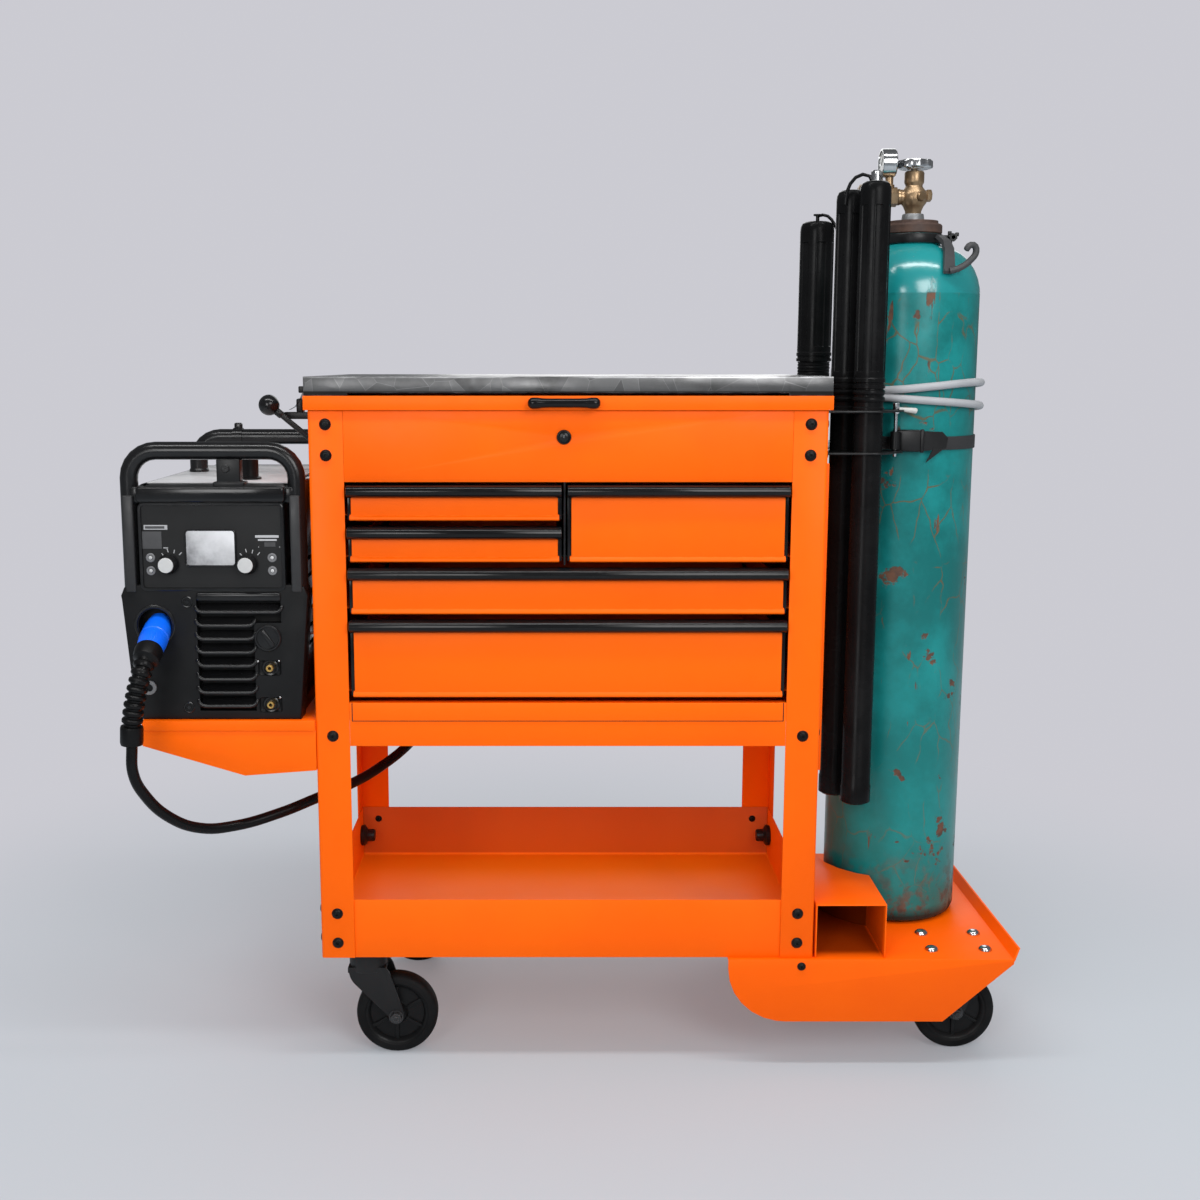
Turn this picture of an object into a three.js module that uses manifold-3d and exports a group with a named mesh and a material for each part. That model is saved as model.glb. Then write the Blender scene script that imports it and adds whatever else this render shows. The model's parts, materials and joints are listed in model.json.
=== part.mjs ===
// Welding cart: a five-drawer sheet-metal tool cart with a hinged lid and steel bench top, a shelf with a welding
// machine on the left, and a rack with one gas bottle and three rod tubes on the right.
// Millimetres, +Z up, +X to the right and +Y to the rear. The pieces are placed from the cart's middle and front.
import * as THREE from 'three';
import { mergeVertices } from 'three/addons/utils/BufferGeometryUtils.js';
import Module from 'manifold-3d';

const wasm = await Module();
wasm.setup();

// Facets round the bottle and what fits it
const bottleSides = 24;

// Clearances
const gap = 0.3;
const runningGap = 0.3;

// Cart frame
const cartWidth = 740;
const cartDepth = 466;
const legFace = 50;
const legSheet = 2;
const legBend = 5;
const bodySheet = 1.2;
const deckHeight = 174;
const trayLip = 91;
const bayHeight = 238;
const railHeight = 38;
const stripHeight = 27;
const returnFlange = 16;

// Drawers
const drawerGap = 9;
const deepDrawerHeight = 114;
const wideDrawerHeight = 67;
const shallowDrawerHeight = 51;
const drawerReveal = 3;
const drawerFrontThick = 12;
const drawerDepth = 425;
const drawerWall = 1.2;
const slideWidth = 6;
const slideHeight = 10;
const slideRise = 8;
const ledgeThick = 2;
const dividerX = -5;
const dividerThick = 2.4;
const pullHeight = 19;
const pullReach = 14;

// Fascia, lid and bench top
const fasciaReveal = 4;
const fasciaHeight = 102;
const lidHeight = 20;
const lidOverhang = 5;
const lidSheet = 1.5;
const benchHeight = 23;
const benchFoot = 4;
const benchFootLength = 62;
const benchSheet = 3;
const hingeRadius = 4.5;
const hingePinRadius = 2;
const hingeLength = 520;
const hingeKnuckles = 5;
const lidPullWidth = 104;
const lidPullReach = 18;
const lockRadius = 6.5;
const lockX = -6;

// Casters
const wheelRadius = 63.5;
const wheelWidth = 32;
const wheelSides = 18;
const axleRadius = 5;
const forkSheet = 4;
const forkSideGap = 2.5;
const casterPlate = [100, 86, 4];
const casterTrail = 44;
const casterInset = [62, 60];
const raceRadius = 29;
const forkCrownHeight = 8;
const wheelTopGap = 8;

// Bottle rack
const rackSheet = 3;
const rackUnder = 128;
const rackReach = 302;
const rackOverhang = 6;
const skirtDepth = 99;
const skirtRound = [88, 84];
const skirtChamfer = [104, 92];
const flangeRise = 18;
const flangeLean = 8;
const rigidCasterOut = 234;
const rigidCasterInset = 74;
const boxOut = 3;
const boxWidth = 106;
const boxHeight = 84;
const boxDepth = 250;
const boxSheet = 2;
const boxBottleGap = 18;

// Gas bottle
const bottleOut = 164;
const bottleY = 236;
const bottleRadius = 105;
const bottleBody = 990;
const bottleWall = 6;
const neckBore = 12;
const shoulderRise = 74;
const neckRadius = 41;
const neckHeight = 17;
const ringRadius = 45;
const ringHeight = 20;
const clampHeight = 14;
const clampThick = 4;
const valveBodyHeight = 76;
const outletRise = 36;
const outletReach = 26;
const handwheelRadius = 28;
const handwheelHeight = 17;

// Strap and tube bracket
const strapThick = 2.2;
const strapWidth = 40;
const bracketBelowLid = 3;
const bracketDrop = 64;
const bracketSheet = 3;
const bracketFront = 58;
const bracketRear = cartDepth - 26;
const strapPinRadius = 3.5;
const strapPinOut = 122;
const strapPinY = 118;

// Rod tubes: distance from the cart's side and from its front, radius, collar above the bracket, cap's length
const rodTubeTable = [
  { out: 73, y: 85, radius: 19.5, collar: 32, cap: 295 },
  { out: 49, y: 135, radius: 19.5, collar: 32, cap: 288 },
  { out: 46, y: cartDepth - 66, radius: 25, collar: 72, cap: 228 },
];
const tubeDrop = 598;
const tubeWall = 2;
const tubeCollar = 3.5;
const tubeSpigot = 95;
const tubeSides = 12;
const capFlutes = 6;
const fluteDepth = 1.2;
const fluteWidth = 8;

// Welding machine
const welderGap = 7;
const welderHalf = 136;
const welderFootHalf = 121;
const welderPanelHalf = 104;
const welderFront = 8;
const mouldingDepth = 42;
const caseLength = 370;
const caseHalf = 117;
const caseSheet = 1.5;
const waistRise = 180;
const panelRise = 200;
const bodyRise = 344;
const hoopRadius = 13;
const hoopRise = 393;
const hoopBend = 46;
const panelHeight = 117;
const panelThick = 1.6;
const knobRadius = 11;
const knobLength = 20;
const knobOffsets = [-64, 50];
const knobRise = 231;
const louvreCount = 9;
const louvrePitch = 19.5;
const louvreSlot = 9;
const louvreDepth = 14;
const torchSocket = [-85, 134];
const torchSocketRadius = 25;
const lowSockets = [[77, 77], [77, 22]];
const socketRadius = 11;
const socketRecess = 3.5;

// Shelf under the machine
const shelfSheet = 2.3;
const shelfReach = 255;
const shelfKneeReach = 106;
const shelfKneeDrop = 83;
const shelfTipDrop = 38;
const shelfRootDrop = 75;

// Side clamp lever
const leverOut = 18;
const leverY = 240;
const leverDrop = 68;
const leverReach = [82, 68];
const leverThick = 7;
const leverWidth = 12;
const leverBall = 15;
const leverPin = 4;

// Cords
const cableDiameter = 16;
const hoseDiameter = 12;
const coilTurns = 2.5;
const coilOuter = 116;
const coilPitch = 19.5;
const coilX = -112;
const coilRise = 242;
const coilStandOff = 12;
const pegRadius = 5;
const pegReach = 52;

// Levels and faces worked out from the sizes above
const half = cartWidth / 2;
const cabinetZ = deckHeight + trayLip + bayHeight;
const floorZ = cabinetZ + railHeight;
const sillZ = floorZ + stripHeight;
const deepZ = sillZ + drawerGap;
const wideZ = deepZ + deepDrawerHeight + drawerGap;
const middleZ = wideZ + wideDrawerHeight + drawerGap;
const topDrawerZ = middleZ + shallowDrawerHeight + drawerGap;
const fasciaZ = topDrawerZ + shallowDrawerHeight + fasciaReveal;
const lidZ = fasciaZ + fasciaHeight;
const benchZ = lidZ + lidHeight + benchFoot;
const innerX = half - legSheet - gap;
const panelInnerX = innerX - bodySheet;
const frontInner = legSheet + gap;
const backOuter = cartDepth - legSheet - gap;
const backInner = backOuter - bodySheet;
const openX = half - legFace - gap;
const drawerX = openX - drawerReveal;
const hingeY = cartDepth + lidOverhang + hingeRadius;
const hingeZ = lidZ - 3;
const axleZ = wheelRadius * Math.cos(Math.PI / wheelSides);
const rackLeft = half - rackUnder;
const rackRight = half + rackReach;
const rigidCasterX = half + rigidCasterOut;
const boxLeft = half + boxOut;
const boxRight = boxLeft + boxWidth;
const bottleX = half + bottleOut;
const bottleZ = deckHeight;
const shoulderZ = bottleZ + bottleBody;
const neckZ = shoulderZ + shoulderRise;
const ringZ = neckZ + neckHeight;
const valveZ = ringZ + ringHeight + gap;
const bracketTop = lidZ - bracketBelowLid;
const strapPinAt = [half + strapPinOut, strapPinY];
const tubeBottom = bracketTop - tubeDrop;
const rodTubes = rodTubeTable.map(({ out, y, radius, collar, cap }) => {
  const capZ = bracketTop + collar;
  return { at: [half + out, y], radius, capZ, topZ: capZ + cap };
});
const shelfHeight = floorZ;
const shelfLeft = -half - shelfReach;
const shelfKneeX = -half - shelfKneeReach;
const leverPivot = [-half - leverOut, leverY, lidZ - leverDrop];
const leverTip = [leverPivot[0] - leverReach[0], leverPivot[2] + leverReach[1]];
const coilZ = cabinetZ + coilRise;
const welderX = -half - welderGap - welderHalf;
const welderZ = shelfHeight + gap;
const mouldingBack = welderFront + mouldingDepth;
const caseBack = mouldingBack + gap + caseLength;
const welderBack = caseBack + gap + mouldingDepth - 10;

// Finishes
const paint = (color, roughness, metalness) => (
  new THREE.MeshStandardMaterial({ color, roughness, metalness }));
const orangePaint = paint(0xf26a10, 0.42, 0.1);
const blackPaint = paint(0x1a1a1b, 0.5, 0.1);
const blackPlastic = paint(0x202123, 0.55, 0);
const panelGrey = paint(0x3a3c40, 0.5, 0);
const blackRubber = paint(0x161616, 0.85, 0);
const steel = paint(0x9a9c9e, 0.35, 1);
const chrome = paint(0xd8dadc, 0.15, 1);
const brass = paint(0xb08a4e, 0.3, 1);
const tealPaint = paint(0x1f8a80, 0.5, 0.1);
const webbing = paint(0x1b1b1c, 0.9, 0);
const greyHose = paint(0xb9bcc0, 0.6, 0);
const whiteKnob = paint(0xdedede, 0.4, 0);
const bluePlastic = paint(0x1d62d8, 0.4, 0);

const cart = new THREE.Group();

// Signed volume of an indexed geometry, to turn an inside-out one round
function signedVolume(points, index) {
  const a = new THREE.Vector3();
  const b = new THREE.Vector3();
  const c = new THREE.Vector3();
  let volume = 0;
  for (let i = 0; i < index.length; i += 3) {
    a.fromArray(points, index[i] * 3);
    b.fromArray(points, index[i + 1] * 3);
    c.fromArray(points, index[i + 2] * 3);
    volume += a.dot(b.cross(c));
  }
  return volume;
}

function solid(geometry) {
  const bare = geometry.clone();
  bare.deleteAttribute('normal');
  bare.deleteAttribute('uv');
  const welded = mergeVertices(bare, 1e-3);
  const vertProperties = new Float32Array(welded.attributes.position.array);
  const triVerts = new Uint32Array(welded.index.array);
  if (signedVolume(vertProperties, triVerts) < 0) triVerts.reverse();
  return new wasm.Manifold(new wasm.Mesh({ numProp: 3, vertProperties, triVerts }));
}

function join(...solids) {
  return solids.reduce((whole, piece) => whole.add(piece));
}

function cut(whole, ...tools) {
  return tools.reduce((rest, tool) => rest.subtract(tool), whole);
}

function add(name, piece, material) {
  const { vertProperties, triVerts } = piece.getMesh();
  const geometry = new THREE.BufferGeometry();
  geometry.setAttribute('position', new THREE.BufferAttribute(new Float32Array(vertProperties), 3));
  geometry.setIndex(new THREE.BufferAttribute(new Uint32Array(triVerts), 1));
  geometry.computeVertexNormals();
  const mesh = new THREE.Mesh(geometry, material);
  mesh.name = name;
  cart.add(mesh);
}

function block(x0, x1, y0, y1, z0, z1) {
  const box = new THREE.BoxGeometry(x1 - x0, y1 - y0, z1 - z0);
  return solid(box.translate((x0 + x1) / 2, (y0 + y1) / 2, (z0 + z1) / 2));
}

// A closed outline of corners [a, b] or [a, b, radius]; a corner with a radius is rounded
function outline(corners) {
  const shape = new THREE.Shape();
  corners.forEach((corner, i) => {
    const [a, b, radius = 0] = corner;
    const before = corners[(i + corners.length - 1) % corners.length];
    const after = corners[(i + 1) % corners.length];
    const at = new THREE.Vector2(a, b);
    const into = new THREE.Vector2(before[0], before[1]).sub(at);
    const out = new THREE.Vector2(after[0], after[1]).sub(at);
    const fillet = Math.min(radius, 0.45 * into.length(), 0.45 * out.length());
    into.setLength(fillet).add(at);
    out.setLength(fillet).add(at);
    if (i === 0) shape.moveTo(into.x, into.y);
    else shape.lineTo(into.x, into.y);
    if (radius > 0) shape.quadraticCurveTo(a, b, out.x, out.y);
  });
  return shape;
}

// Extrudes an outline: 'xy' runs along Z, 'xz' along Y and 'yz' along X
function prism(corners, plane, from, to, curveSegments = 4) {
  const shape = corners instanceof THREE.Shape ? corners : outline(corners);
  const geometry = new THREE.ExtrudeGeometry(shape, { depth: to - from, bevelEnabled: false, curveSegments });
  if (plane === 'xy') return solid(geometry.translate(0, 0, from));
  if (plane === 'xz') return solid(geometry.rotateX(Math.PI / 2).translate(0, to, 0));
  const turn = new THREE.Matrix4().makeBasis(
    new THREE.Vector3(0, 1, 0), new THREE.Vector3(0, 0, 1), new THREE.Vector3(1, 0, 0));
  return solid(geometry.applyMatrix4(turn).translate(from, 0, 0));
}

// Revolves a profile of [radius, height] about Z, or about Y or X when the axis is given, through a place
function turned(profile, place, axis = 'z', sides = 20) {
  const points = profile.map(([r, h]) => new THREE.Vector2(r, h));
  const geometry = new THREE.LatheGeometry(points, sides, Math.PI / sides).rotateX(Math.PI / 2);
  if (axis === 'y') geometry.rotateX(-Math.PI / 2);
  if (axis === 'x') geometry.rotateY(Math.PI / 2);
  return solid(geometry.translate(...place));
}

function rod(radius, from, to, place, axis = 'z', sides = 16) {
  return turned([[0, from], [radius, from], [radius, to], [0, to]], place, axis, sides);
}

function ring(inner, outer, from, to, place, axis = 'z', sides = 24) {
  return turned([[inner, from], [outer, from], [outer, to], [inner, to], [inner, from]], place, axis, sides);
}

function circle(radius, sides) {
  const shape = new THREE.Shape();
  for (let i = 0; i < sides; i++) {
    const turn = (i + 0.5) / sides * 2 * Math.PI;
    const point = [radius * Math.cos(turn), radius * Math.sin(turn)];
    if (i === 0) shape.moveTo(...point);
    else shape.lineTo(...point);
  }
  return shape;
}

function tube(curve, radius, sides, steps) {
  const settings = { steps, extrudePath: curve, curveSegments: 1 };
  return solid(new THREE.ExtrudeGeometry(circle(radius, sides), settings));
}

function smooth(points) {
  return new THREE.CatmullRomCurve3(points.map((p) => new THREE.Vector3(...p)), false, 'centripetal');
}

// A round skin of changing radius along a curve, closed at both ends
function skin(curve, radii, sides) {
  const rings = radii.length;
  const frames = curve.computeFrenetFrames(rings - 1, false);
  const positions = [];
  const index = [];
  radii.forEach((radius, i) => {
    const centre = curve.getPointAt(i / (rings - 1));
    for (let k = 0; k < sides; k++) {
      const turn = k / sides * 2 * Math.PI;
      const side = frames.normals[i].clone().multiplyScalar(radius * Math.cos(turn));
      side.addScaledVector(frames.binormals[i], radius * Math.sin(turn)).add(centre);
      positions.push(side.x, side.y, side.z);
    }
  });
  const at = (i, k) => i * sides + k % sides;
  for (let i = 0; i < rings - 1; i++) {
    for (let k = 0; k < sides; k++) {
      index.push(at(i, k), at(i, k + 1), at(i + 1, k + 1), at(i, k), at(i + 1, k + 1), at(i + 1, k));
    }
  }
  for (let k = 1; k < sides - 1; k++) {
    index.push(at(0, 0), at(0, k + 1), at(0, k));
    index.push(at(rings - 1, 0), at(rings - 1, k), at(rings - 1, k + 1));
  }
  const geometry = new THREE.BufferGeometry();
  geometry.setAttribute('position', new THREE.Float32BufferAttribute(positions, 3));
  geometry.setIndex(index);
  return solid(geometry);
}

// Legs: folded angles with the bend at the outer corner
for (const [row, back] of [['front', 0], ['rear', 1]]) {
  for (const [side, right] of [['left', 0], ['right', 1]]) {
    const x = (reach) => (right ? half - reach : reach - half);
    const y = (reach) => (back ? cartDepth - reach : reach);
    const angle = [
      [x(0), y(0), legBend], [x(legFace), y(0)], [x(legFace), y(legSheet)],
      [x(legSheet), y(legSheet)], [x(legSheet), y(legFace)], [x(0), y(legFace)],
    ];
    add(`${row}_${side}_leg`, prism(angle, 'xy', deckHeight, lidZ - gap), orangePaint);
  }
}

// Lower tray: a folded pan between the legs, with its lips hemmed inwards
const trayX = innerX;
const tray = cut(
  block(-trayX, trayX, frontInner, backOuter, deckHeight, deckHeight + trayLip),
  block(-trayX + bodySheet, trayX - bodySheet, frontInner + bodySheet, backOuter - bodySheet,
    deckHeight + bodySheet, deckHeight + trayLip + 1));
add('lower_tray', tray, orangePaint);

// Drawer table: name, left and right edge of the front, underside and height of the front
const leftEdge = dividerX - dividerThick / 2 - drawerReveal;
const rightEdge = dividerX + dividerThick / 2 + drawerReveal;
const rightDrawerHeight = 2 * shallowDrawerHeight + drawerGap;
const drawers = [
  ['top_left_drawer', -drawerX, leftEdge, topDrawerZ, shallowDrawerHeight],
  ['middle_left_drawer', -drawerX, leftEdge, middleZ, shallowDrawerHeight],
  ['right_drawer', rightEdge, drawerX, middleZ, rightDrawerHeight],
  ['wide_drawer', -drawerX, drawerX, wideZ, wideDrawerHeight],
  ['deep_drawer', -drawerX, drawerX, deepZ, deepDrawerHeight],
];
const drawerBack = drawerFrontThick + drawerDepth;
const sideInset = slideWidth + 2;

function ledge(x0, x1, drawerZ) {
  const top = drawerZ + slideRise - gap;
  return block(x0, x1, drawerFrontThick + drawerReveal, backInner - gap, top - ledgeThick, top);
}

// Cabinet sides with the ledges that the drawer slides run on
const ledgeTip = drawerX - sideInset + 1;
for (const [name, sign] of [['left_side_panel', -1], ['right_side_panel', 1]]) {
  const x = (a, b) => [Math.min(sign * a, sign * b), Math.max(sign * a, sign * b)];
  let panel = block(...x(panelInnerX, innerX), frontInner, backInner - gap, cabinetZ, lidZ - gap);
  for (const [, left, right, z] of drawers) {
    const edge = sign < 0 ? -left : right;
    if (edge > openX / 2) panel = join(panel, ledge(...x(ledgeTip, innerX - gap), z));
  }
  if (sign < 0) {
    const [px, py, pz] = leverPivot;
    const ears = [-1, 1].map((k) => block(px - 9, -innerX + bodySheet / 2,
      py + k * (leverThick / 2 + gap) - (k < 0 ? 6 : 0), py + k * (leverThick / 2 + gap) + (k < 0 ? 0 : 6),
      pz - 16, pz + 14));
    const foot = block(-half - 6, -innerX + bodySheet / 2, py - 26, py + 26, pz - 26, pz - 12);
    const pin = rod(leverPin, py - leverThick, py + leverThick, [px, 0, pz], 'y', 12);
    panel = join(panel, foot, ...ears, pin);
  }
  add(name, panel, orangePaint);
}

// Divider between the two drawer columns, hung under the top compartment, with ledges on both faces
const dividerLeft = dividerX - dividerThick / 2;
const dividerRight = dividerX + dividerThick / 2;
const dividerLedge = drawerReveal + sideInset - 1;
add('drawer_divider', join(
  block(dividerLeft, dividerRight, 0.5, backInner - gap, middleZ - drawerGap / 2, fasciaZ - gap),
  ledge(dividerLeft - dividerLedge, dividerLeft + 1, topDrawerZ),
  ledge(dividerLeft - dividerLedge, dividerLeft + 1, middleZ),
  ledge(dividerRight - 1, dividerRight + dividerLedge, middleZ)), orangePaint);

// Cabinet floor with the front strip and rail, which is folded back at the top and bottom
const floorX = panelInnerX - gap;
const railProfile = [
  [0, cabinetZ], [returnFlange, cabinetZ], [returnFlange, cabinetZ + bodySheet],
  [bodySheet, cabinetZ + bodySheet],
  [bodySheet, sillZ - bodySheet], [returnFlange, sillZ - bodySheet], [returnFlange, sillZ], [0, sillZ],
];
const floorPlan = [
  [-openX + 1, bodySheet / 2], [openX - 1, bodySheet / 2], [openX - 1, frontInner], [floorX, frontInner],
  [floorX, backInner - gap], [-floorX, backInner - gap], [-floorX, frontInner], [-openX + 1, frontInner],
];
add('cabinet_floor', join(
  prism(railProfile, 'yz', -openX, openX),
  prism(floorPlan, 'xy', floorZ, floorZ + bodySheet)), orangePaint);

// Floor of the top compartment, resting on the fascia's lower return
const compartmentZ = fasciaZ + bodySheet + gap;
add('compartment_floor', block(-panelInnerX + gap, panelInnerX - gap, frontInner, backInner - gap,
  compartmentZ, compartmentZ + bodySheet), orangePaint);

// Fascia over the drawers, folded back at the top and bottom, with the hole for the lock
const lockZ = fasciaZ + 64;
const fasciaProfile = [
  [0, fasciaZ], [returnFlange, fasciaZ], [returnFlange, fasciaZ + bodySheet],
  [bodySheet, fasciaZ + bodySheet],
  [bodySheet, lidZ - gap - bodySheet], [returnFlange, lidZ - gap - bodySheet], [returnFlange, lidZ - gap],
  [0, lidZ - gap],
];
add('front_fascia', cut(prism(fasciaProfile, 'yz', -openX, openX),
  rod(lockRadius + runningGap, -5, 5, [lockX, 0, lockZ], 'y', 16)), orangePaint);

// Lock plug with its key slot and the cam behind the fascia
const lockHead = turned([[0, 18], [lockRadius, 18], [lockRadius, -gap], [lockRadius + 2.5, -gap],
  [lockRadius + 2, -2.5], [0, -2.5]], [lockX, 0, lockZ], 'y', 16);
add('lock_plug', cut(join(lockHead, block(lockX - 5, lockX + 5, 14, 17, lockZ - 6, lockZ + 22)),
  block(lockX - 1, lockX + 1, -4, -0.8, lockZ - 4.5, lockZ + 4.5)), steel);

// Knuckles of the lid hinge, shared out in turn between the back panel and the lid
function knuckles(first) {
  const pitch = hingeLength / hingeKnuckles;
  const list = [];
  for (let i = first; i < hingeKnuckles; i += 2) {
    const from = -hingeLength / 2 + i * pitch + gap;
    list.push([from, from + pitch - 2 * gap]);
  }
  return list;
}

// Back panel with the fixed hinge leaf, the hinge pin and the peg that carries the coiled cable
const coilTopRadius = coilOuter - coilPitch * (coilTurns - 0.25);
const pegZ = coilZ + coilTopRadius - cableDiameter / 2 - 2 * gap - pegRadius;
const pegTip = cartDepth + pegReach;
const fixedKnuckles = knuckles(0).map(([x0, x1]) => join(
  rod(hingeRadius, x0, x1, [0, hingeY, hingeZ], 'x', 10),
  block(x0, x1, backOuter, hingeY, hingeZ - hingeRadius, hingeZ - hingeRadius + bodySheet + 0.8)));
add('back_panel', join(
  block(-panelInnerX, panelInnerX, backInner, backOuter, cabinetZ, lidZ - gap),
  block(-hingeLength / 2, hingeLength / 2, backInner, backOuter + bodySheet, hingeZ - 30, hingeZ - 1),
  ...fixedKnuckles,
  rod(hingePinRadius, -hingeLength / 2 + 1, hingeLength / 2 - 1, [0, hingeY, hingeZ], 'x', 12),
  rod(pegRadius, backInner, pegTip, [coilX, 0, pegZ], 'y', 12),
  rod(pegRadius, -pegRadius, pegRadius + 9, [coilX, pegTip, pegZ], 'z', 12)), orangePaint);

// Lid pan with its knuckles bored for the hinge pin
const lidX = half + lidOverhang;
const lidBack = cartDepth + lidOverhang;
const movingKnuckles = knuckles(1).map(([x0, x1]) => join(
  rod(hingeRadius, x0, x1, [0, hingeY, hingeZ], 'x', 10),
  block(x0, x1, lidBack - lidSheet, hingeY, hingeZ, lidZ + 6)));
const pinBore = rod(hingePinRadius + runningGap, -half, half, [0, hingeY, hingeZ], 'x', 12);
const lidPan = cut(
  block(-lidX, lidX, -lidOverhang, lidBack, lidZ, lidZ + lidHeight),
  block(-lidX + lidSheet, lidX - lidSheet, -lidOverhang + lidSheet, lidBack - lidSheet,
    lidZ - 1, lidZ + lidHeight - lidSheet));
add('lid', cut(join(lidPan, ...movingKnuckles), pinBore), orangePaint);

// Lid pull: a moulded lip screwed to the front edge of the lid
const lidPullX = -5;
const pullBack = -lidOverhang - gap;
const lidPullProfile = [
  [pullBack, lidZ + 3], [pullBack - 4, lidZ + 3, 1], [pullBack - lidPullReach, lidZ + 9, 4],
  [pullBack - lidPullReach + 2, lidZ + 15, 3], [pullBack, lidZ + 17],
];
const lidPullLeft = lidPullX - lidPullWidth / 2;
add('lid_pull', prism(lidPullProfile, 'yz', lidPullLeft, lidPullLeft + lidPullWidth), blackPlastic);

// Bench top: a steel pan turned down on all sides, standing on a foot at each end
const benchX = lidX - 1;
const benchEdge = lidOverhang - 1;
const benchBack = cartDepth + benchEdge;
const benchFeet = [-benchX, benchX - benchFootLength].map((x) =>
  block(x, x + benchFootLength, -benchEdge, benchBack, lidZ + lidHeight + gap, benchZ + 1));
add('bench_top', join(
  cut(block(-benchX, benchX, -benchEdge, benchBack, benchZ, benchZ + benchHeight),
    block(-benchX + benchSheet, benchX - benchSheet, -benchEdge + benchSheet, benchBack - benchSheet,
      benchZ - 1, benchZ + benchHeight - benchSheet)),
  ...benchFeet), steel);

// Drawers: pan, double-wall front, slides on both sides and a full-width nose pull along the top
for (const [name, x0, x1, z, height] of drawers) {
  const frontTop = z + height - pullHeight;
  const nose = [
    [drawerFrontThick / 2, frontTop], [0, frontTop], [-pullReach + 5, frontTop + 3, 2],
    [-pullReach, frontTop + pullHeight * 0.55, 4], [-pullReach + 4, frontTop + pullHeight - 1, 3],
    [drawerFrontThick / 2, frontTop + pullHeight],
  ];
  const wallLeft = x0 + sideInset;
  const wallRight = x1 - sideInset;
  const panBottom = z + 3;
  const panTop = frontTop - 1;
  const slideZ = z + slideRise;
  add(name, join(
    block(x0, x1, 1, drawerFrontThick, z, z + height - 2),
    prism(nose, 'yz', x0, x1),
    cut(block(wallLeft, wallRight, drawerFrontThick - 1, drawerBack, panBottom, panTop),
      block(wallLeft + drawerWall, wallRight - drawerWall, drawerFrontThick, drawerBack - drawerWall,
        panBottom + drawerWall, panTop + 1)),
    block(wallLeft - slideWidth, wallLeft + drawerWall, drawerFrontThick, drawerBack,
      slideZ, slideZ + slideHeight),
    block(wallRight - drawerWall, wallRight + slideWidth, drawerFrontThick, drawerBack, slideZ,
      slideZ + slideHeight)), orangePaint);
}

// Wheels: rubber tread on a moulded hub with a bore for the axle
const hubHalf = wheelWidth / 2 + 1;
const wheelProfile = [
  [axleRadius + runningGap, -hubHalf], [14, -hubHalf], [18, -7], [43, -6], [48, -wheelWidth / 2],
  [wheelRadius - 5, -wheelWidth / 2], [wheelRadius, -wheelWidth / 2 + 6], [wheelRadius, wheelWidth / 2 - 6],
  [wheelRadius - 5, wheelWidth / 2], [48, wheelWidth / 2], [43, 6], [18, 7], [14, hubHalf],
  [axleRadius + runningGap, hubHalf], [axleRadius + runningGap, -hubHalf],
];
const forkInside = hubHalf + forkSideGap;
const forkTop = axleZ + wheelRadius + wheelTopGap;

// Fork cheeks, crown and axle; the crown is trail behind the axle
function fork(axleX, axleY, trail, crownTop) {
  const kingX = axleX - trail;
  const cheek = [
    [axleX - 13, axleZ + 2, 10], [axleX, axleZ - 16, 12], [axleX + 14, axleZ + 2, 10],
    [kingX + raceRadius + 6, forkTop, 3], [kingX + raceRadius, forkTop + forkCrownHeight],
    [kingX - raceRadius, forkTop + forkCrownHeight], [kingX - raceRadius + 4, forkTop - 12, 10],
  ];
  const cheeks = [-1, 1].map((k) => {
    const inside = axleY + k * forkInside;
    const outside = inside + k * forkSheet;
    return prism(cheek, 'xz', Math.min(inside, outside), Math.max(inside, outside), 3);
  });
  const reach = forkInside + forkSheet;
  return join(
    ...cheeks,
    block(kingX - raceRadius, kingX + raceRadius, axleY - reach, axleY + reach,
      forkTop, forkTop + forkCrownHeight),
    rod(raceRadius, forkTop + 1, crownTop, [kingX, axleY, 0], 'z', 16),
    rod(axleRadius, axleY - reach - 1, axleY + reach + 1, [axleX, 0, axleZ], 'y', 10),
    rod(9, axleY - reach - 6, axleY - reach, [axleX, 0, axleZ], 'y', 6),
    rod(9, axleY + reach, axleY + reach + 7, [axleX, 0, axleZ], 'y', 6));
}

function topPlate(x, y, top) {
  const [length, width, thick] = casterPlate;
  const [a, b] = [length / 2, width / 2];
  const corners = [[x - a, y - b, 8], [x + a, y - b, 8], [x + a, y + b, 8], [x - a, y + b, 8]];
  return prism(corners, 'xy', top - thick, top, 3);
}

const swivelTop = deckHeight - gap;
const rackTop = deckHeight - gap;
const rigidTop = rackTop - rackSheet - gap;
for (const [row, back] of [['front', 0], ['rear', 1]]) {
  const swivelX = casterInset[0] - half;
  const swivelY = back ? cartDepth - casterInset[1] : casterInset[1];
  const wheelX = swivelX + casterTrail;
  const bearing = swivelTop - casterPlate[2] - gap;
  add(`${row}_left_caster_plate`, topPlate(swivelX, swivelY, swivelTop), blackPaint);
  add(`${row}_left_fork`, fork(wheelX, swivelY, casterTrail, bearing), blackPaint);
  add(`${row}_left_wheel`, turned(wheelProfile, [wheelX, swivelY, axleZ], 'y', wheelSides), blackRubber);
  const rigidY = back ? cartDepth - rigidCasterInset : rigidCasterInset;
  add(`${row}_right_fork`, join(
    fork(rigidCasterX, rigidY, 0, rigidTop - 1), topPlate(rigidCasterX, rigidY, rigidTop)), blackPaint);
  add(`${row}_right_wheel`, turned(wheelProfile, [rigidCasterX, rigidY, axleZ], 'y', wheelSides),
    blackRubber);
}

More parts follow.
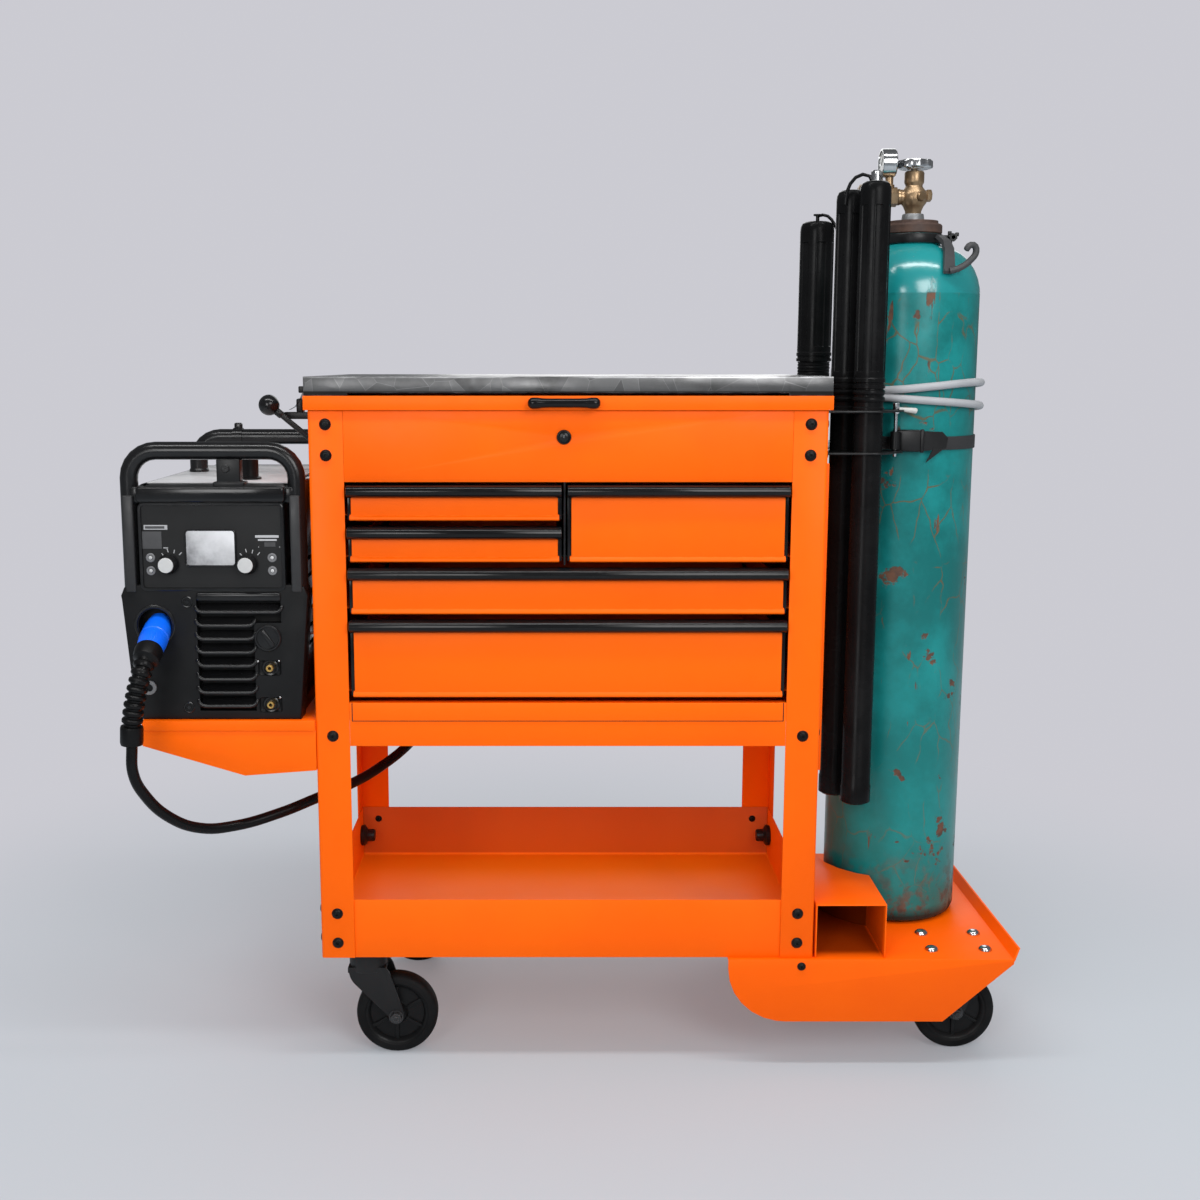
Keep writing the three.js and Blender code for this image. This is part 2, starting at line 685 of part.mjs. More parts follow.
// Rack base: deck plate, a skirt front and rear with one round and one chamfered corner, and a leaning flange
const rackFront = -rackOverhang;
const rackBack = cartDepth + rackOverhang;
const skirtBottom = rackTop - skirtDepth;
const roundCorner = [0.15, 0.3, 0.45, 0.6, 0.75, 0.9, 1].map((share) => (
  [1 - Math.cos(share * Math.PI / 2), 1 - Math.sin(share * Math.PI / 2)]));
const skirtOutline = [
  [rackLeft, rackTop], [rackLeft, skirtBottom + skirtRound[1]],
  ...roundCorner.map(([a, b]) => [rackLeft + skirtRound[0] * a, skirtBottom + skirtRound[1] * b]),
  [rackRight - skirtChamfer[0], skirtBottom], [rackRight, skirtBottom + skirtChamfer[1]], [rackRight, rackTop],
];
const flangeOutline = [
  [rackRight - 2, rackTop - rackSheet], [rackRight + 1, rackTop - rackSheet],
  [rackRight + flangeLean, rackTop + flangeRise], [rackRight + flangeLean - rackSheet, rackTop + flangeRise],
];
add('rack_base', join(
  block(rackLeft, rackRight, rackFront, rackBack, rackTop - rackSheet, rackTop),
  prism(skirtOutline, 'xz', rackFront, rackFront + rackSheet, 10),
  prism(skirtOutline, 'xz', rackBack - rackSheet, rackBack, 10),
  prism(flangeOutline, 'xz', rackFront, rackBack)), orangePaint);

// Open-fronted box on the rack, hollowed round the bottle
const bottleWell = (inset) => rod(bottleRadius + boxBottleGap + inset, deckHeight - 5, deckHeight + boxHeight + 5,
  [bottleX, bottleY, 0], 'z', bottleSides);
const boxHull = cut(block(boxLeft, boxRight, 0, boxDepth, deckHeight, deckHeight + boxHeight), bottleWell(0));
const boxHollow = cut(block(boxLeft + boxSheet, boxRight - boxSheet, -1, boxDepth - boxSheet,
  deckHeight - 1, deckHeight + boxHeight - boxSheet), bottleWell(boxSheet));
add('rack_box', cut(boxHull, boxHollow), orangePaint);

// Gas bottle: a drawn shell with a peened ring round its bored neck
const bottleProfile = [
  [0, bottleZ], [bottleRadius - 14, bottleZ], [bottleRadius - 4, bottleZ + 4], [bottleRadius, bottleZ + 14],
  [bottleRadius, shoulderZ], [bottleRadius * 0.965, shoulderZ + shoulderRise * 0.3],
  [bottleRadius * 0.85, shoulderZ + shoulderRise * 0.62], [bottleRadius * 0.64, shoulderZ + shoulderRise * 0.88],
  [neckRadius, neckZ], [neckRadius, ringZ], [ringRadius, ringZ], [ringRadius, ringZ + ringHeight * 0.65],
  [ringRadius - 7, ringZ + ringHeight], [neckBore, ringZ + ringHeight], [neckBore, neckZ - bottleWall],
  [bottleRadius * 0.8 - bottleWall, shoulderZ + shoulderRise * 0.6], [bottleRadius - bottleWall, shoulderZ],
  [bottleRadius - bottleWall, bottleZ + 2 * bottleWall], [0, bottleZ + 2 * bottleWall],
];
add('gas_bottle', turned(bottleProfile, [bottleX, bottleY, 0], 'z', bottleSides), tealPaint);

// Neck clamp: a band under the ring with a bolted lug, and a plate down the shoulder that ends in a bent hook
const clampZ = ringZ - clampHeight - 1;
const clampOuter = neckRadius + gap + clampThick;
const lugEnd = bottleX + clampOuter + 22;
const shoulderLine = bottleProfile.slice(5, 8).reverse();
const hangerLift = 2;
const hanger = prism([
  [neckRadius + clampThick - 1, clampZ + 2],
  ...shoulderLine.map(([r, z]) => [r + hangerLift, z + hangerLift]),
  ...shoulderLine.map(([r, z]) => [r + hangerLift + clampThick, z + hangerLift + clampThick]).reverse(),
  [neckRadius + clampThick - 1, clampZ + 2 + clampThick],
], 'xz', -10, 10);
const hookStart = bottleRadius + 2;
const hookZ = shoulderZ + 30;
const hookBend = smooth([
  [hookStart, 0, hookZ], [hookStart + 4, 12, hookZ + 2], [hookStart + 8, 26, hookZ + 14],
  [hookStart + 10, 36, hookZ + 28], [hookStart + 10, 43, hookZ + 34], [hookStart + 8, 48, hookZ + 28],
]);
const hangerAngle = -72;
const hangerWithHook = join(hanger, tube(hookBend, 5, 6, 10))
  .rotate([0, 0, hangerAngle]).translate([bottleX, bottleY, 0]);
add('neck_clamp', join(
  ring(neckRadius + gap, clampOuter, clampZ, clampZ + clampHeight, [bottleX, bottleY, 0], 'z', bottleSides),
  block(bottleX + clampOuter - 2, lugEnd, bottleY - 5, bottleY + 5, clampZ + 5, clampZ + clampHeight),
  hangerWithHook), blackPaint);

// Cylinder valve: square shank, round body with a side outlet and a safety plug, bonnet and stem
const outletZ = valveZ + outletRise;
const valveTop = valveZ + valveBodyHeight;
const outletEnd = bottleX - outletReach;
add('cylinder_valve', join(
  turned([
    [0, valveZ], [17, valveZ], [17, valveZ + 9], [12, valveZ + 12], [13, outletZ - 20], [20, outletZ - 8],
    [20, outletZ + 8], [13, outletZ + 16], [12, outletZ + 19], [17, valveTop - 18], [17, valveTop - 8],
    [6, valveTop - 6], [6, valveTop], [0, valveTop],
  ], [bottleX, bottleY, 0], 'z', 12),
  rod(12, outletEnd, bottleX, [0, bottleY, outletZ], 'x', 12),
  rod(9, bottleX, bottleX + 27, [0, bottleY, outletZ + 2], 'x', 12)), brass);

// Handwheel with eight lobes round its rim
const wheelBase = valveTop + gap;
const lobes = new THREE.Shape();
const lobeSteps = 40;
for (let i = 0; i < lobeSteps; i++) {
  const turn = i / lobeSteps * 2 * Math.PI;
  const reach = handwheelRadius - 2 + 2 * Math.cos(8 * turn);
  if (i === 0) lobes.moveTo(bottleX + reach, bottleY);
  else lobes.lineTo(bottleX + reach * Math.cos(turn), bottleY + reach * Math.sin(turn));
}
add('valve_handwheel', join(
  prism(lobes, 'xy', wheelBase + 3, wheelBase + handwheelHeight - 4),
  rod(12, wheelBase, wheelBase + handwheelHeight, [bottleX, bottleY, 0], 'z', 16)), chrome);

// Regulator: inlet nut, body, gauge on its stem, flow tube with a cap, and an outlet arm with a hose nipple
const regulatorX = outletEnd - gap;
const gaugeX = regulatorX - 12;
const flowX = regulatorX - 32;
const armX = regulatorX - 46;
const armEnd = bottleY + 62;
const nippleBottom = outletZ - 26;
const nippleY = bottleY + 54;
add('regulator', join(
  rod(15, regulatorX - 20, regulatorX, [0, bottleY, outletZ], 'x', 6),
  rod(20, regulatorX - 60, regulatorX - 18, [0, bottleY, outletZ], 'x', 14),
  rod(6, outletZ, outletZ + 36, [gaugeX, bottleY, 0], 'z', 12),
  rod(22, gaugeX - 14, gaugeX + 8, [0, bottleY, outletZ + 50], 'x', 16),
  rod(10, outletZ, outletZ + 40, [flowX, bottleY, 0], 'z', 12),
  rod(9, bottleY, armEnd, [armX, 0, outletZ], 'y', 12),
  rod(5, nippleBottom, outletZ, [armX, nippleY, 0], 'z', 12)), brass);

// Tube bracket: two plates on a back flange, bored for the tubes and the strap pin
const bracketX = half + gap;
const bracketBottom = bracketTop - bracketDrop;
const bracketPlan = [
  [bracketX, bracketFront], [strapPinAt[0] - 30, bracketFront, 12],
  [strapPinAt[0] + 11, strapPinAt[1] - 10, 8],
  [strapPinAt[0] + 11, strapPinAt[1] + 12, 5], [half + 85, strapPinAt[1] + 34, 6],
  [half + 82, bracketRear, 10],
  [bracketX, bracketRear],
];
const holes = rodTubes.map(({ at: [x, y], radius }) =>
  rod(radius + gap, bracketBottom - 5, bracketTop + 5, [x, y, 0], 'z', tubeSides));
add('tube_bracket', cut(
  join(
    prism(bracketPlan, 'xy', bracketBottom, bracketBottom + bracketSheet, 2),
    prism(bracketPlan, 'xy', bracketTop - bracketSheet, bracketTop, 2),
    block(bracketX, bracketX + bracketSheet, bracketFront, bracketRear, bracketBottom, bracketTop)),
  ...holes,
  rod(strapPinRadius + gap, bracketBottom - 5, bracketTop + 5, [...strapPinAt, 0], 'z', 12),
  rod(bottleRadius + 10, bracketBottom - 5, bracketTop + 5, [bottleX, bottleY, 0], 'z', bottleSides)), blackPaint);

// Strap round the bottle with its buckle block and the eye on the pin
const strapZ = bracketBottom + bracketSheet + 6;
const strapInner = bottleRadius + gap;
const buckleTurn = Math.atan2(strapPinAt[1] - bottleY, strapPinAt[0] - bottleX);
const buckle = new THREE.BoxGeometry(17, 46, strapWidth + 4)
  .translate(strapInner + 1.2 + 8.5, 0, strapZ + strapWidth / 2).rotateZ(buckleTurn).translate(bottleX, bottleY, 0);
const pinEye = cut(
  rod(strapPinRadius + 4, strapZ + 8, strapZ + strapWidth - 8, [...strapPinAt, 0], 'z', 16),
  rod(strapPinRadius + gap, strapZ, strapZ + strapWidth, [...strapPinAt, 0], 'z', 16));
add('bottle_strap', join(
  ring(strapInner, strapInner + strapThick, strapZ, strapZ + strapWidth, [bottleX, bottleY, 0], 'z', bottleSides),
  cut(solid(buckle), rod(strapPinRadius + gap, strapZ - 9, strapZ + 60, [...strapPinAt, 0], 'z', 16)),
  pinEye), webbing);

// Strap pin: a drop pin with a bent handle that rests on the bracket
const handleZ = bracketTop + gap + 4;
add('strap_pin', join(
  rod(strapPinRadius, bracketBottom - 6, handleZ, [...strapPinAt, 0], 'z', 12),
  rod(4, strapPinAt[0] - 5, strapPinAt[0] + 30, [0, strapPinAt[1], handleZ], 'x', 10)), chrome);

// Rod tubes with a collar that rests on the bracket, and the long fluted caps over their spigots
rodTubes.forEach(({ at: [x, y], radius, capZ, topZ }, i) => {
  const collar = radius + tubeCollar;
  const spigot = radius - tubeWall;
  const bore = spigot - tubeWall;
  add(`rod_tube_${i + 1}`, turned([
    [0, tubeBottom], [radius, tubeBottom], [radius + 2, tubeBottom + 3], [radius + 2, tubeBottom + 28],
    [radius, tubeBottom + 30], [radius, bracketTop + gap], [collar, bracketTop + gap], [collar, capZ - gap],
    [spigot, capZ - gap], [spigot, capZ + tubeSpigot], [bore, capZ + tubeSpigot], [bore, tubeBottom + 4],
    [0, tubeBottom + 4],
  ], [x, y, 0], 'z', tubeSides), blackPlastic);
  const outer = radius + tubeCollar - 0.5;
  const inner = spigot + runningGap;
  const shell = turned([
    [inner, capZ], [outer + 1, capZ], [outer + 1, capZ + 12], [outer, capZ + 16], [outer, topZ - 10],
    [outer - 5, topZ - 2], [outer - 9, topZ], [0, topZ], [0, topZ - 3], [inner, topZ - 5], [inner, capZ],
  ], [x, y, 0], 'z', tubeSides);
  const flutes = [];
  for (let k = 0; k < capFlutes; k++) {
    const flute = new THREE.BoxGeometry(2 * fluteDepth, fluteWidth, topZ - capZ - 70)
      .translate(outer, 0, (topZ + capZ) / 2 + 4).rotateZ((k + 0.25) / capFlutes * 2 * Math.PI).translate(x, y, 0);
    flutes.push(solid(flute));
  }
  add(`tube_cap_${i + 1}`, cut(shell, ...flutes), blackPlastic);
});

// Welder shelf: folded deck with a tapered gusset front and rear and a flange on the cart's side
const shelfRight = -half - gap;
const gusset = [
  [shelfLeft, shelfHeight], [shelfLeft, shelfHeight - shelfTipDrop], [shelfKneeX, shelfHeight - shelfKneeDrop],
  [shelfRight, shelfHeight - shelfRootDrop], [shelfRight, shelfHeight],
];
add('welder_shelf', join(
  block(shelfLeft, shelfRight, 0, cartDepth, shelfHeight - shelfSheet, shelfHeight),
  prism(gusset, 'xz', 0, shelfSheet),
  prism(gusset, 'xz', cartDepth - shelfSheet, cartDepth),
  block(shelfRight - shelfSheet, shelfRight, 0, cartDepth, shelfHeight - shelfRootDrop, shelfHeight),
  block(shelfLeft, shelfLeft + shelfSheet, 0, cartDepth, shelfHeight - shelfTipDrop / 2, shelfHeight)),
  orangePaint);

// Outline of the machine's end mouldings: wide side rails below the waist, a narrower panel above
const mouldingOutline = [
  [welderX - welderFootHalf, welderZ, 6], [welderX - welderHalf, welderZ + waistRise, 8],
  [welderX - welderHalf + 5, welderZ + panelRise - 3, 6], [welderX - welderPanelHalf, welderZ + panelRise],
  [welderX - welderPanelHalf, welderZ + bodyRise, 12], [welderX + welderPanelHalf, welderZ + bodyRise, 12],
  [welderX + welderPanelHalf, welderZ + panelRise], [welderX + welderHalf - 5, welderZ + panelRise - 3, 6],
  [welderX + welderHalf, welderZ + waistRise, 8], [welderX + welderFootHalf, welderZ, 6],
];

// Carry hoop: a bent tube that stands in the side rails
function hoop(y) {
  const legX = welderHalf - hoopRadius - 2;
  const topZ = welderZ + hoopRise;
  const left = welderX - legX;
  const right = welderX + legX;
  const p = (x, z) => new THREE.Vector3(x, y, z);
  const path = new THREE.CurvePath();
  path.add(new THREE.LineCurve3(p(left, welderZ + panelRise - 26), p(left, topZ - hoopBend)));
  const bend = (from, corner, to) => path.add(new THREE.QuadraticBezierCurve3(from, corner, to));
  bend(p(left, topZ - hoopBend), p(left, topZ), p(left + hoopBend, topZ));
  path.add(new THREE.LineCurve3(p(left + hoopBend, topZ), p(right - hoopBend, topZ)));
  bend(p(right - hoopBend, topZ), p(right, topZ), p(right, topZ - hoopBend));
  path.add(new THREE.LineCurve3(p(right, topZ - hoopBend), p(right, welderZ + panelRise - 26)));
  return tube(path, hoopRadius, 8, 26);
}

// Moulded front: control-panel pocket, nine louvres, torch socket, two gas sockets and a screw cap
const panelZ = welderZ + panelRise + 1;
const panelHalf = welderPanelHalf - 3;
const slots = [];
for (let i = 0; i < louvreCount; i++) {
  const z = welderZ + 12 + i * louvrePitch;
  const right = i < louvreCount - 3 ? 50 : 94;
  const r = louvreSlot / 2;
  const slot = [
    [welderX - 30, z, r], [welderX + right, z, r], [welderX + right, z + louvreSlot, r],
    [welderX - 30, z + louvreSlot, r],
  ];
  slots.push(prism(slot, 'xz', welderFront - 1, welderFront + louvreDepth, 2));
}
const onFront = ([dx, dz]) => [welderX + dx, 0, welderZ + dz];
const capAt = [74, 124];
const hoseRingAt = [-100, 48];
add('welder_front', cut(
  join(
    prism(mouldingOutline, 'xz', welderFront, mouldingBack, 3),
    hoop(welderFront + hoopRadius + 4),
    rod(torchSocketRadius + 5, welderFront - 2.5, welderFront + 2, onFront(torchSocket), 'y', 16),
    rod(19, welderFront - 6, welderFront + louvreDepth + 2, onFront(capAt), 'y', 16),
    rod(11, welderFront - 5, welderFront + 2, onFront(hoseRingAt), 'y', 16)),
  block(welderX - panelHalf - gap, welderX + panelHalf + gap, welderFront - 1, welderFront + panelThick + gap,
    panelZ - gap, panelZ + panelHeight + gap),
  ...slots.slice(0, 5),
  ...slots.slice(6),
  cut(slots[5], rod(21, -50, 90, onFront(capAt), 'y', 16)),
  rod(torchSocketRadius, welderFront - 5, welderFront + 27, onFront(torchSocket), 'y', 16),
  ...lowSockets.map((at) => (
    rod(socketRadius, welderFront - 5, welderFront + socketRecess, onFront(at), 'y', 12)))),
  blackPlastic);

// Control panel plate with the raised display frame
add('control_panel', join(
  block(welderX - panelHalf, welderX + panelHalf, welderFront, welderFront + panelThick,
    panelZ, panelZ + panelHeight),
  block(welderX - 38, welderX + 35, welderFront - 1.5, welderFront + 1, panelZ + 27, panelZ + 82)),
  panelGrey);

// Selector knobs on the control panel
knobOffsets.forEach((offset, i) => {
  const side = i === 0 ? 'left' : 'right';
  const front = welderFront - gap;
  add(`${side}_knob`, turned([
    [0, front], [knobRadius + 1.5, front], [knobRadius + 1.5, front - 4], [knobRadius, front - 6],
    [knobRadius - 1.5, front - knobLength + 2], [knobRadius - 3, front - knobLength], [0, front - knobLength],
  ], [welderX + offset, 0, welderZ + knobRise], 'y', 16), whiteKnob);
});

// Sheet-metal wrap between the mouldings, with cooling slots in both sides
const caseFront = mouldingBack + gap;
const caseOutline = (inset) => [
  [welderX - caseHalf + inset, welderZ + inset], [welderX - caseHalf + inset, welderZ + bodyRise - inset, 12],
  [welderX + caseHalf - inset, welderZ + bodyRise - inset, 12], [welderX + caseHalf - inset, welderZ + inset],
];
const sideSlots = [];
for (let i = 0; i < 6; i++) {
  const z = welderZ + 90 + i * 26;
  for (const x of [welderX - caseHalf, welderX + caseHalf]) {
    sideSlots.push(block(x - 5, x + 5, caseFront + 60, caseFront + 190, z, z + 6));
  }
}
add('welder_case', cut(
  prism(caseOutline(0), 'xz', caseFront, caseBack),
  prism(caseOutline(caseSheet), 'xz', caseFront - 1, caseBack + 1),
  ...sideSlots), blackPaint);

// Moulded rear with its hoop, fan grille, gland for the mains lead and gas inlet
const rearFront = caseBack + gap;
const fanZ = welderZ + 190;
const fanRadius = 78;
const fanSlots = [];
for (let k = -4; k <= 4; k++) {
  const x = welderX + k * 17;
  const reach = Math.sqrt(fanRadius ** 2 - (k * 17) ** 2);
  fanSlots.push(block(x - 4.5, x + 4.5, welderBack - 10, welderBack + 1, fanZ - reach, fanZ + reach));
}
const inletX = welderX + 43;
const inletZ = welderZ + 58;
const inletEnd = welderBack + 26;
add('welder_rear', cut(
  join(
    prism(mouldingOutline, 'xz', rearFront, welderBack, 3),
    hoop(welderBack - hoopRadius - 4),
    rod(16, welderBack - 2, welderBack + 14, [welderX - 66, 0, welderZ + 55], 'y', 12),
    rod(12, welderBack - 2, welderBack + 10, [inletX, 0, inletZ], 'y', 6),
    rod(5, welderBack + 8, inletEnd, [inletX, 0, inletZ], 'y', 12)),
  ...fanSlots), blackPlastic);

// Side clamp lever with its ball knob
const [pivotX, pivotY, pivotZ] = leverPivot;
const leverAngle = Math.atan2(leverTip[1] - pivotZ, leverTip[0] - pivotX);
const leverLength = Math.hypot(leverTip[1] - pivotZ, leverTip[0] - pivotX);
const w = leverWidth / 2;
const armOutline = [[-w, -w, 5], [leverLength, -w], [leverLength, w], [-w, w, 5]];
const arm = prism(armOutline, 'xz', -leverThick / 2, leverThick / 2)
  .rotate([0, -THREE.MathUtils.radToDeg(leverAngle), 0]).translate([pivotX, pivotY, pivotZ]);
const ball = solid(new THREE.SphereGeometry(leverBall, 12, 8).translate(leverTip[0], pivotY, leverTip[1]));
add('ball_lever', cut(join(arm, ball),
  rod(leverPin + runningGap, pivotY - 20, pivotY + 20, [pivotX, 0, pivotZ], 'y', 12)), blackPaint);

// Torch plug: blue sleeve, boot, ribbed strain relief and collar along one bent axis
const socketX = welderX + torchSocket[0];
const socketZ = welderZ + torchSocket[1];
const plugPath = smooth([
  [socketX, welderFront + 20, socketZ + 8], [socketX, welderFront - 12, socketZ - 6],
  [socketX + 1, welderFront - 56, socketZ - 24], [socketX - 2, welderFront - 76, socketZ - 42],
  [socketX - 12, welderFront - 84, socketZ - 84], [socketX - 19, welderFront - 84, socketZ - 128],
  [socketX - 20, welderFront - 84, socketZ - 152],
]);
const sleeveRadii = [16, 18, 20, 20.5, 20.5, 20, 20, 18, 18];
const bootRadii = [19, 19, 18.5, 16];
const ribRadii = Array.from({ length: 16 }, (_, i) => (Math.floor(i / 2) % 2 ? 11.5 : 15));
const collarRadii = [16, 16.5, 16.5, 16.5, 15];
const plugRadii = [...sleeveRadii, ...bootRadii, ...ribRadii, ...collarRadii];
add('torch_plug', skin(plugPath, plugRadii, 8), bluePlastic);

// Torch cable: hangs from the collar, passes between the left legs and climbs behind the back panel to its coil
const cableExit = plugPath.getPointAt(1);
const coilY = cartDepth + coilStandOff;
const coilStartX = coilX - coilOuter;
const slack = (out, y, drop) => [-half - out, y, cabinetZ - drop];
const cableRoute = [
  [cableExit.x, cableExit.y, cableExit.z - gap], [cableExit.x, cableExit.y, cableExit.z - 40],
  slack(237, -62, 56), slack(209, -38, 97), slack(173, -10, 122), slack(129, 22, 129), slack(68, 60, 121),
  slack(19, 95, 109), slack(-34, 155, 100), slack(-68, 200, 89), slack(-107, 250, 67), slack(-125, 310, 51),
  slack(-137, 365, 42), [coilStartX - 1, coilY - 68, cabinetZ - 44], [coilStartX, coilY - 36, cabinetZ - 39],
  [coilStartX, coilY - 14, cabinetZ - 25], [coilStartX, coilY - 4, cabinetZ - 2],
  [coilStartX, coilY, cabinetZ + 42],
  [coilStartX, coilY, cabinetZ + 157], [coilStartX, coilY, coilZ - cableDiameter - gap],
];
const cableCurve = smooth(cableRoute);
add('torch_cable', tube(cableCurve, cableDiameter / 2, 8, 36), blackRubber);

// Cable coil: spirals in on the first layer, climbs in the half turn at the middle and spirals out on the second
const layerPitch = cableDiameter + 2;
class CoilCurve extends THREE.Curve {
  getPoint(t, target = new THREE.Vector3()) {
    const turns = t * (2 * coilTurns + 0.5);
    const inward = Math.min(turns, coilTurns);
    const climb = Math.min(Math.max((turns - coilTurns) / 0.5, 0), 1);
    const outward = Math.max(turns - coilTurns - 0.5, 0);
    const radius = coilOuter - coilPitch * (inward - outward);
    const turn = Math.PI - 2 * Math.PI * turns;
    const ease = climb * climb * (3 - 2 * climb);
    return target.set(coilX + radius * Math.cos(turn), coilY + layerPitch * ease, coilZ + radius * Math.sin(turn));
  }
}
const coilCurve = new CoilCurve();
const coilPoints = coilCurve.getSpacedPoints(132);
const coilLead = [coilPoints[0].clone().setZ(coilZ - cableDiameter)];
const coilTail = [coilPoints[132].clone().setZ(coilZ - cableDiameter)];
const woundCurve = new THREE.CatmullRomCurve3([...coilLead, ...coilPoints, ...coilTail], false, 'centripetal');
add('cable_coil', tube(woundCurve, cableDiameter / 2, 8, 128), blackRubber);
const woundPoints = woundCurve.getSpacedPoints(400);
let leastCoilGap = Infinity;
woundPoints.forEach((a, i) => {
  for (let k = i + 40; k < woundPoints.length; k++) {
    leastCoilGap = Math.min(leastCoilGap, a.distanceTo(woundPoints[k]) - cableDiameter);
  }
});
console.log(`least gap of the coil to itself ${leastCoilGap.toFixed(2)} mm`);

// Torch hanging from the end of the coil: grip, bent neck, cup and back cap
const torchX = coilX + coilOuter;
const torchY = coilY + layerPitch;
const gripTop = coilZ - cableDiameter - gap;
const gripPath = smooth([
  [torchX, torchY, gripTop], [torchX, torchY, gripTop - 90], [torchX, torchY, gripTop - 165],
]);
const gripRadii = [8.5, 10, 11, 12, 12.5, 12.5, 12, 11.5, 11, 10];
const headZ = gripTop - 172;
add('tig_torch', join(
  skin(gripPath, gripRadii, 8),
  rod(10, -26, 26, [torchX, torchY, headZ], 'x', 12),
  rod(7, 26, 52, [torchX, torchY, headZ], 'x', 12),
  rod(6, -56, -26, [torchX, torchY, headZ], 'x', 12)), blackPlastic);

// Gas hose: down from the regulator, twice round the bottle, then slack behind the cart to the machine's inlet
const wrapRadius = bottleRadius + hoseDiameter / 2 + 1.2;
const wrap = (degrees, z) => {
  const turn = THREE.MathUtils.degToRad(degrees);
  return [bottleX + wrapRadius * Math.cos(turn), bottleY + wrapRadius * Math.sin(turn), z];
};
const over = (degrees, rise) => wrap(degrees, bracketTop + rise);
const behindCoil = coilY + layerPitch + 22;
const behind = (x, back, rise) => [x, behindCoil + back, cabinetZ + rise];
const hoseRoute = [
  [armX, nippleY, nippleBottom - gap], [armX, nippleY, nippleBottom - 24],
  [armX - 20, nippleY + 12, nippleBottom - 90], wrap(146, nippleBottom - 160), over(150, 94), over(162, 58),
  over(185, 39), over(215, 31), over(245, 32), over(275, 33), over(305, 33), over(335, 33), over(365, 31),
  over(395, 29), over(425, 27), over(455, 24), over(485, 22), over(515, 19), over(545, 17), over(575, 16),
  over(605, 16), over(635, 14), over(665, 11), over(695, 7), over(725, 2), over(750, -3),
  [bottleX + 50, bottleY + 121, bracketTop - 10], [bottleX + 2, bottleY + 166, bracketTop - 25],
  [bottleX - 56, cartDepth - 14, bracketTop - 60], [half + 40, cartDepth + 28, bracketTop - 122],
  behind(half - 70, -6, 277), behind(half - 210, 0, 187), behind(half - 350, 0, 117), behind(-half + 250, 0, 75),
  behind(-half + 120, 2, 59), behind(-half + 20, 16, 65), behind(-half - 50, 30, 79),
  behind(-half - 86, 26, 91), [inletX, inletEnd + 34, inletZ], [inletX, inletEnd + gap, inletZ],
];
const hoseCurve = smooth(hoseRoute);
add('gas_hose', tube(hoseCurve, hoseDiameter / 2, 8, 84), greyHose);
const [freeLength, woundLength] = [cableCurve, woundCurve].map((curve) => curve.getLength().toFixed(0));
console.log(`torch cable ${freeLength} mm free, ${woundLength} mm coiled`);
console.log(`gas hose ${hoseCurve.getLength().toFixed(0)} mm`);

// The origin goes under the middle of the cart without its cords
const cords = ['torch_plug', 'torch_cable', 'cable_coil', 'tig_torch', 'gas_hose'];
const extent = new THREE.Box3();
for (const mesh of cart.children) {
  if (!cords.includes(mesh.name)) extent.expandByObject(mesh);
}
const middle = extent.getCenter(new THREE.Vector3());
cart.position.set(-middle.x, -middle.y, -extent.min.z);
console.log(`origin at ${middle.x.toFixed(3)}, ${middle.y.toFixed(3)}, ${extent.min.z.toFixed(3)} of the cart`);

export default cart;
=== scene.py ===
import json
import math

import bmesh
import bpy
from mathutils import Matrix, Vector

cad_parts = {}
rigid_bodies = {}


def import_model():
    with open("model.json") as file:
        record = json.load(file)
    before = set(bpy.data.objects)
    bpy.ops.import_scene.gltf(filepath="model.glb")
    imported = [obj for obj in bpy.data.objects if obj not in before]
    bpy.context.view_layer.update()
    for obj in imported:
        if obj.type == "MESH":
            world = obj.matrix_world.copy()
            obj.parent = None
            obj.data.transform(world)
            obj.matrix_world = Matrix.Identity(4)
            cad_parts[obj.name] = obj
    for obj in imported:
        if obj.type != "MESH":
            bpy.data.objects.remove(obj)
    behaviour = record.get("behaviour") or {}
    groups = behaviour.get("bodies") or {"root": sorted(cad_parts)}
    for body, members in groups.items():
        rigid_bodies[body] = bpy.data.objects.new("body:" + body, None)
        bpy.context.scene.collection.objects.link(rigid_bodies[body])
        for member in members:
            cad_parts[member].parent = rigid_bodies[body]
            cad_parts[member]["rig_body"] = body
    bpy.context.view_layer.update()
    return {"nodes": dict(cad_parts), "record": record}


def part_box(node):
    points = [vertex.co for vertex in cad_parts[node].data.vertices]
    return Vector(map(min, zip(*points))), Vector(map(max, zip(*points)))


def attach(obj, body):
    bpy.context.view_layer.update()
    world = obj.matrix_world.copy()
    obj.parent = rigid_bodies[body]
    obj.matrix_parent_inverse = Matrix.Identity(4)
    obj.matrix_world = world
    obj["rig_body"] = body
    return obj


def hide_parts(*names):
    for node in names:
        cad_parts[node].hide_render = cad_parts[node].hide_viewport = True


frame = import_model()

# Studio: a camera in front of the drawers at about the height of the bench top, a pale floor that runs out into
# a pale backdrop, and large soft lamps. None of it belongs to the cart.
BACKDROP = (0.60, 0.598, 0.645, 1.0)
LAMPS_AIM_AT = Vector((0, 0, 0.6))
FLOOR_RADIUS = 14.0
camera = bpy.data.objects.new("camera", bpy.data.cameras.new("camera"))
camera.location = (-0.034172, -2.3111, 1.057)
camera.rotation_euler = (math.radians(90 - 9.27), 0, 0)
camera.data.lens = 43.32
camera.data.sensor_width = 36
camera.data.shift_x = 0.0373
bpy.context.scene.collection.objects.link(camera)
bpy.context.scene.camera = camera
bpy.context.scene.view_settings.view_transform = "Standard"


def wire(tree, node, sockets):
    """Links or sets the inputs of a node."""
    for key, value in dict(sockets).items():
        if isinstance(value, bpy.types.NodeSocket):
            tree.links.new(value, node.inputs[key])
        else:
            node.inputs[key].default_value = value


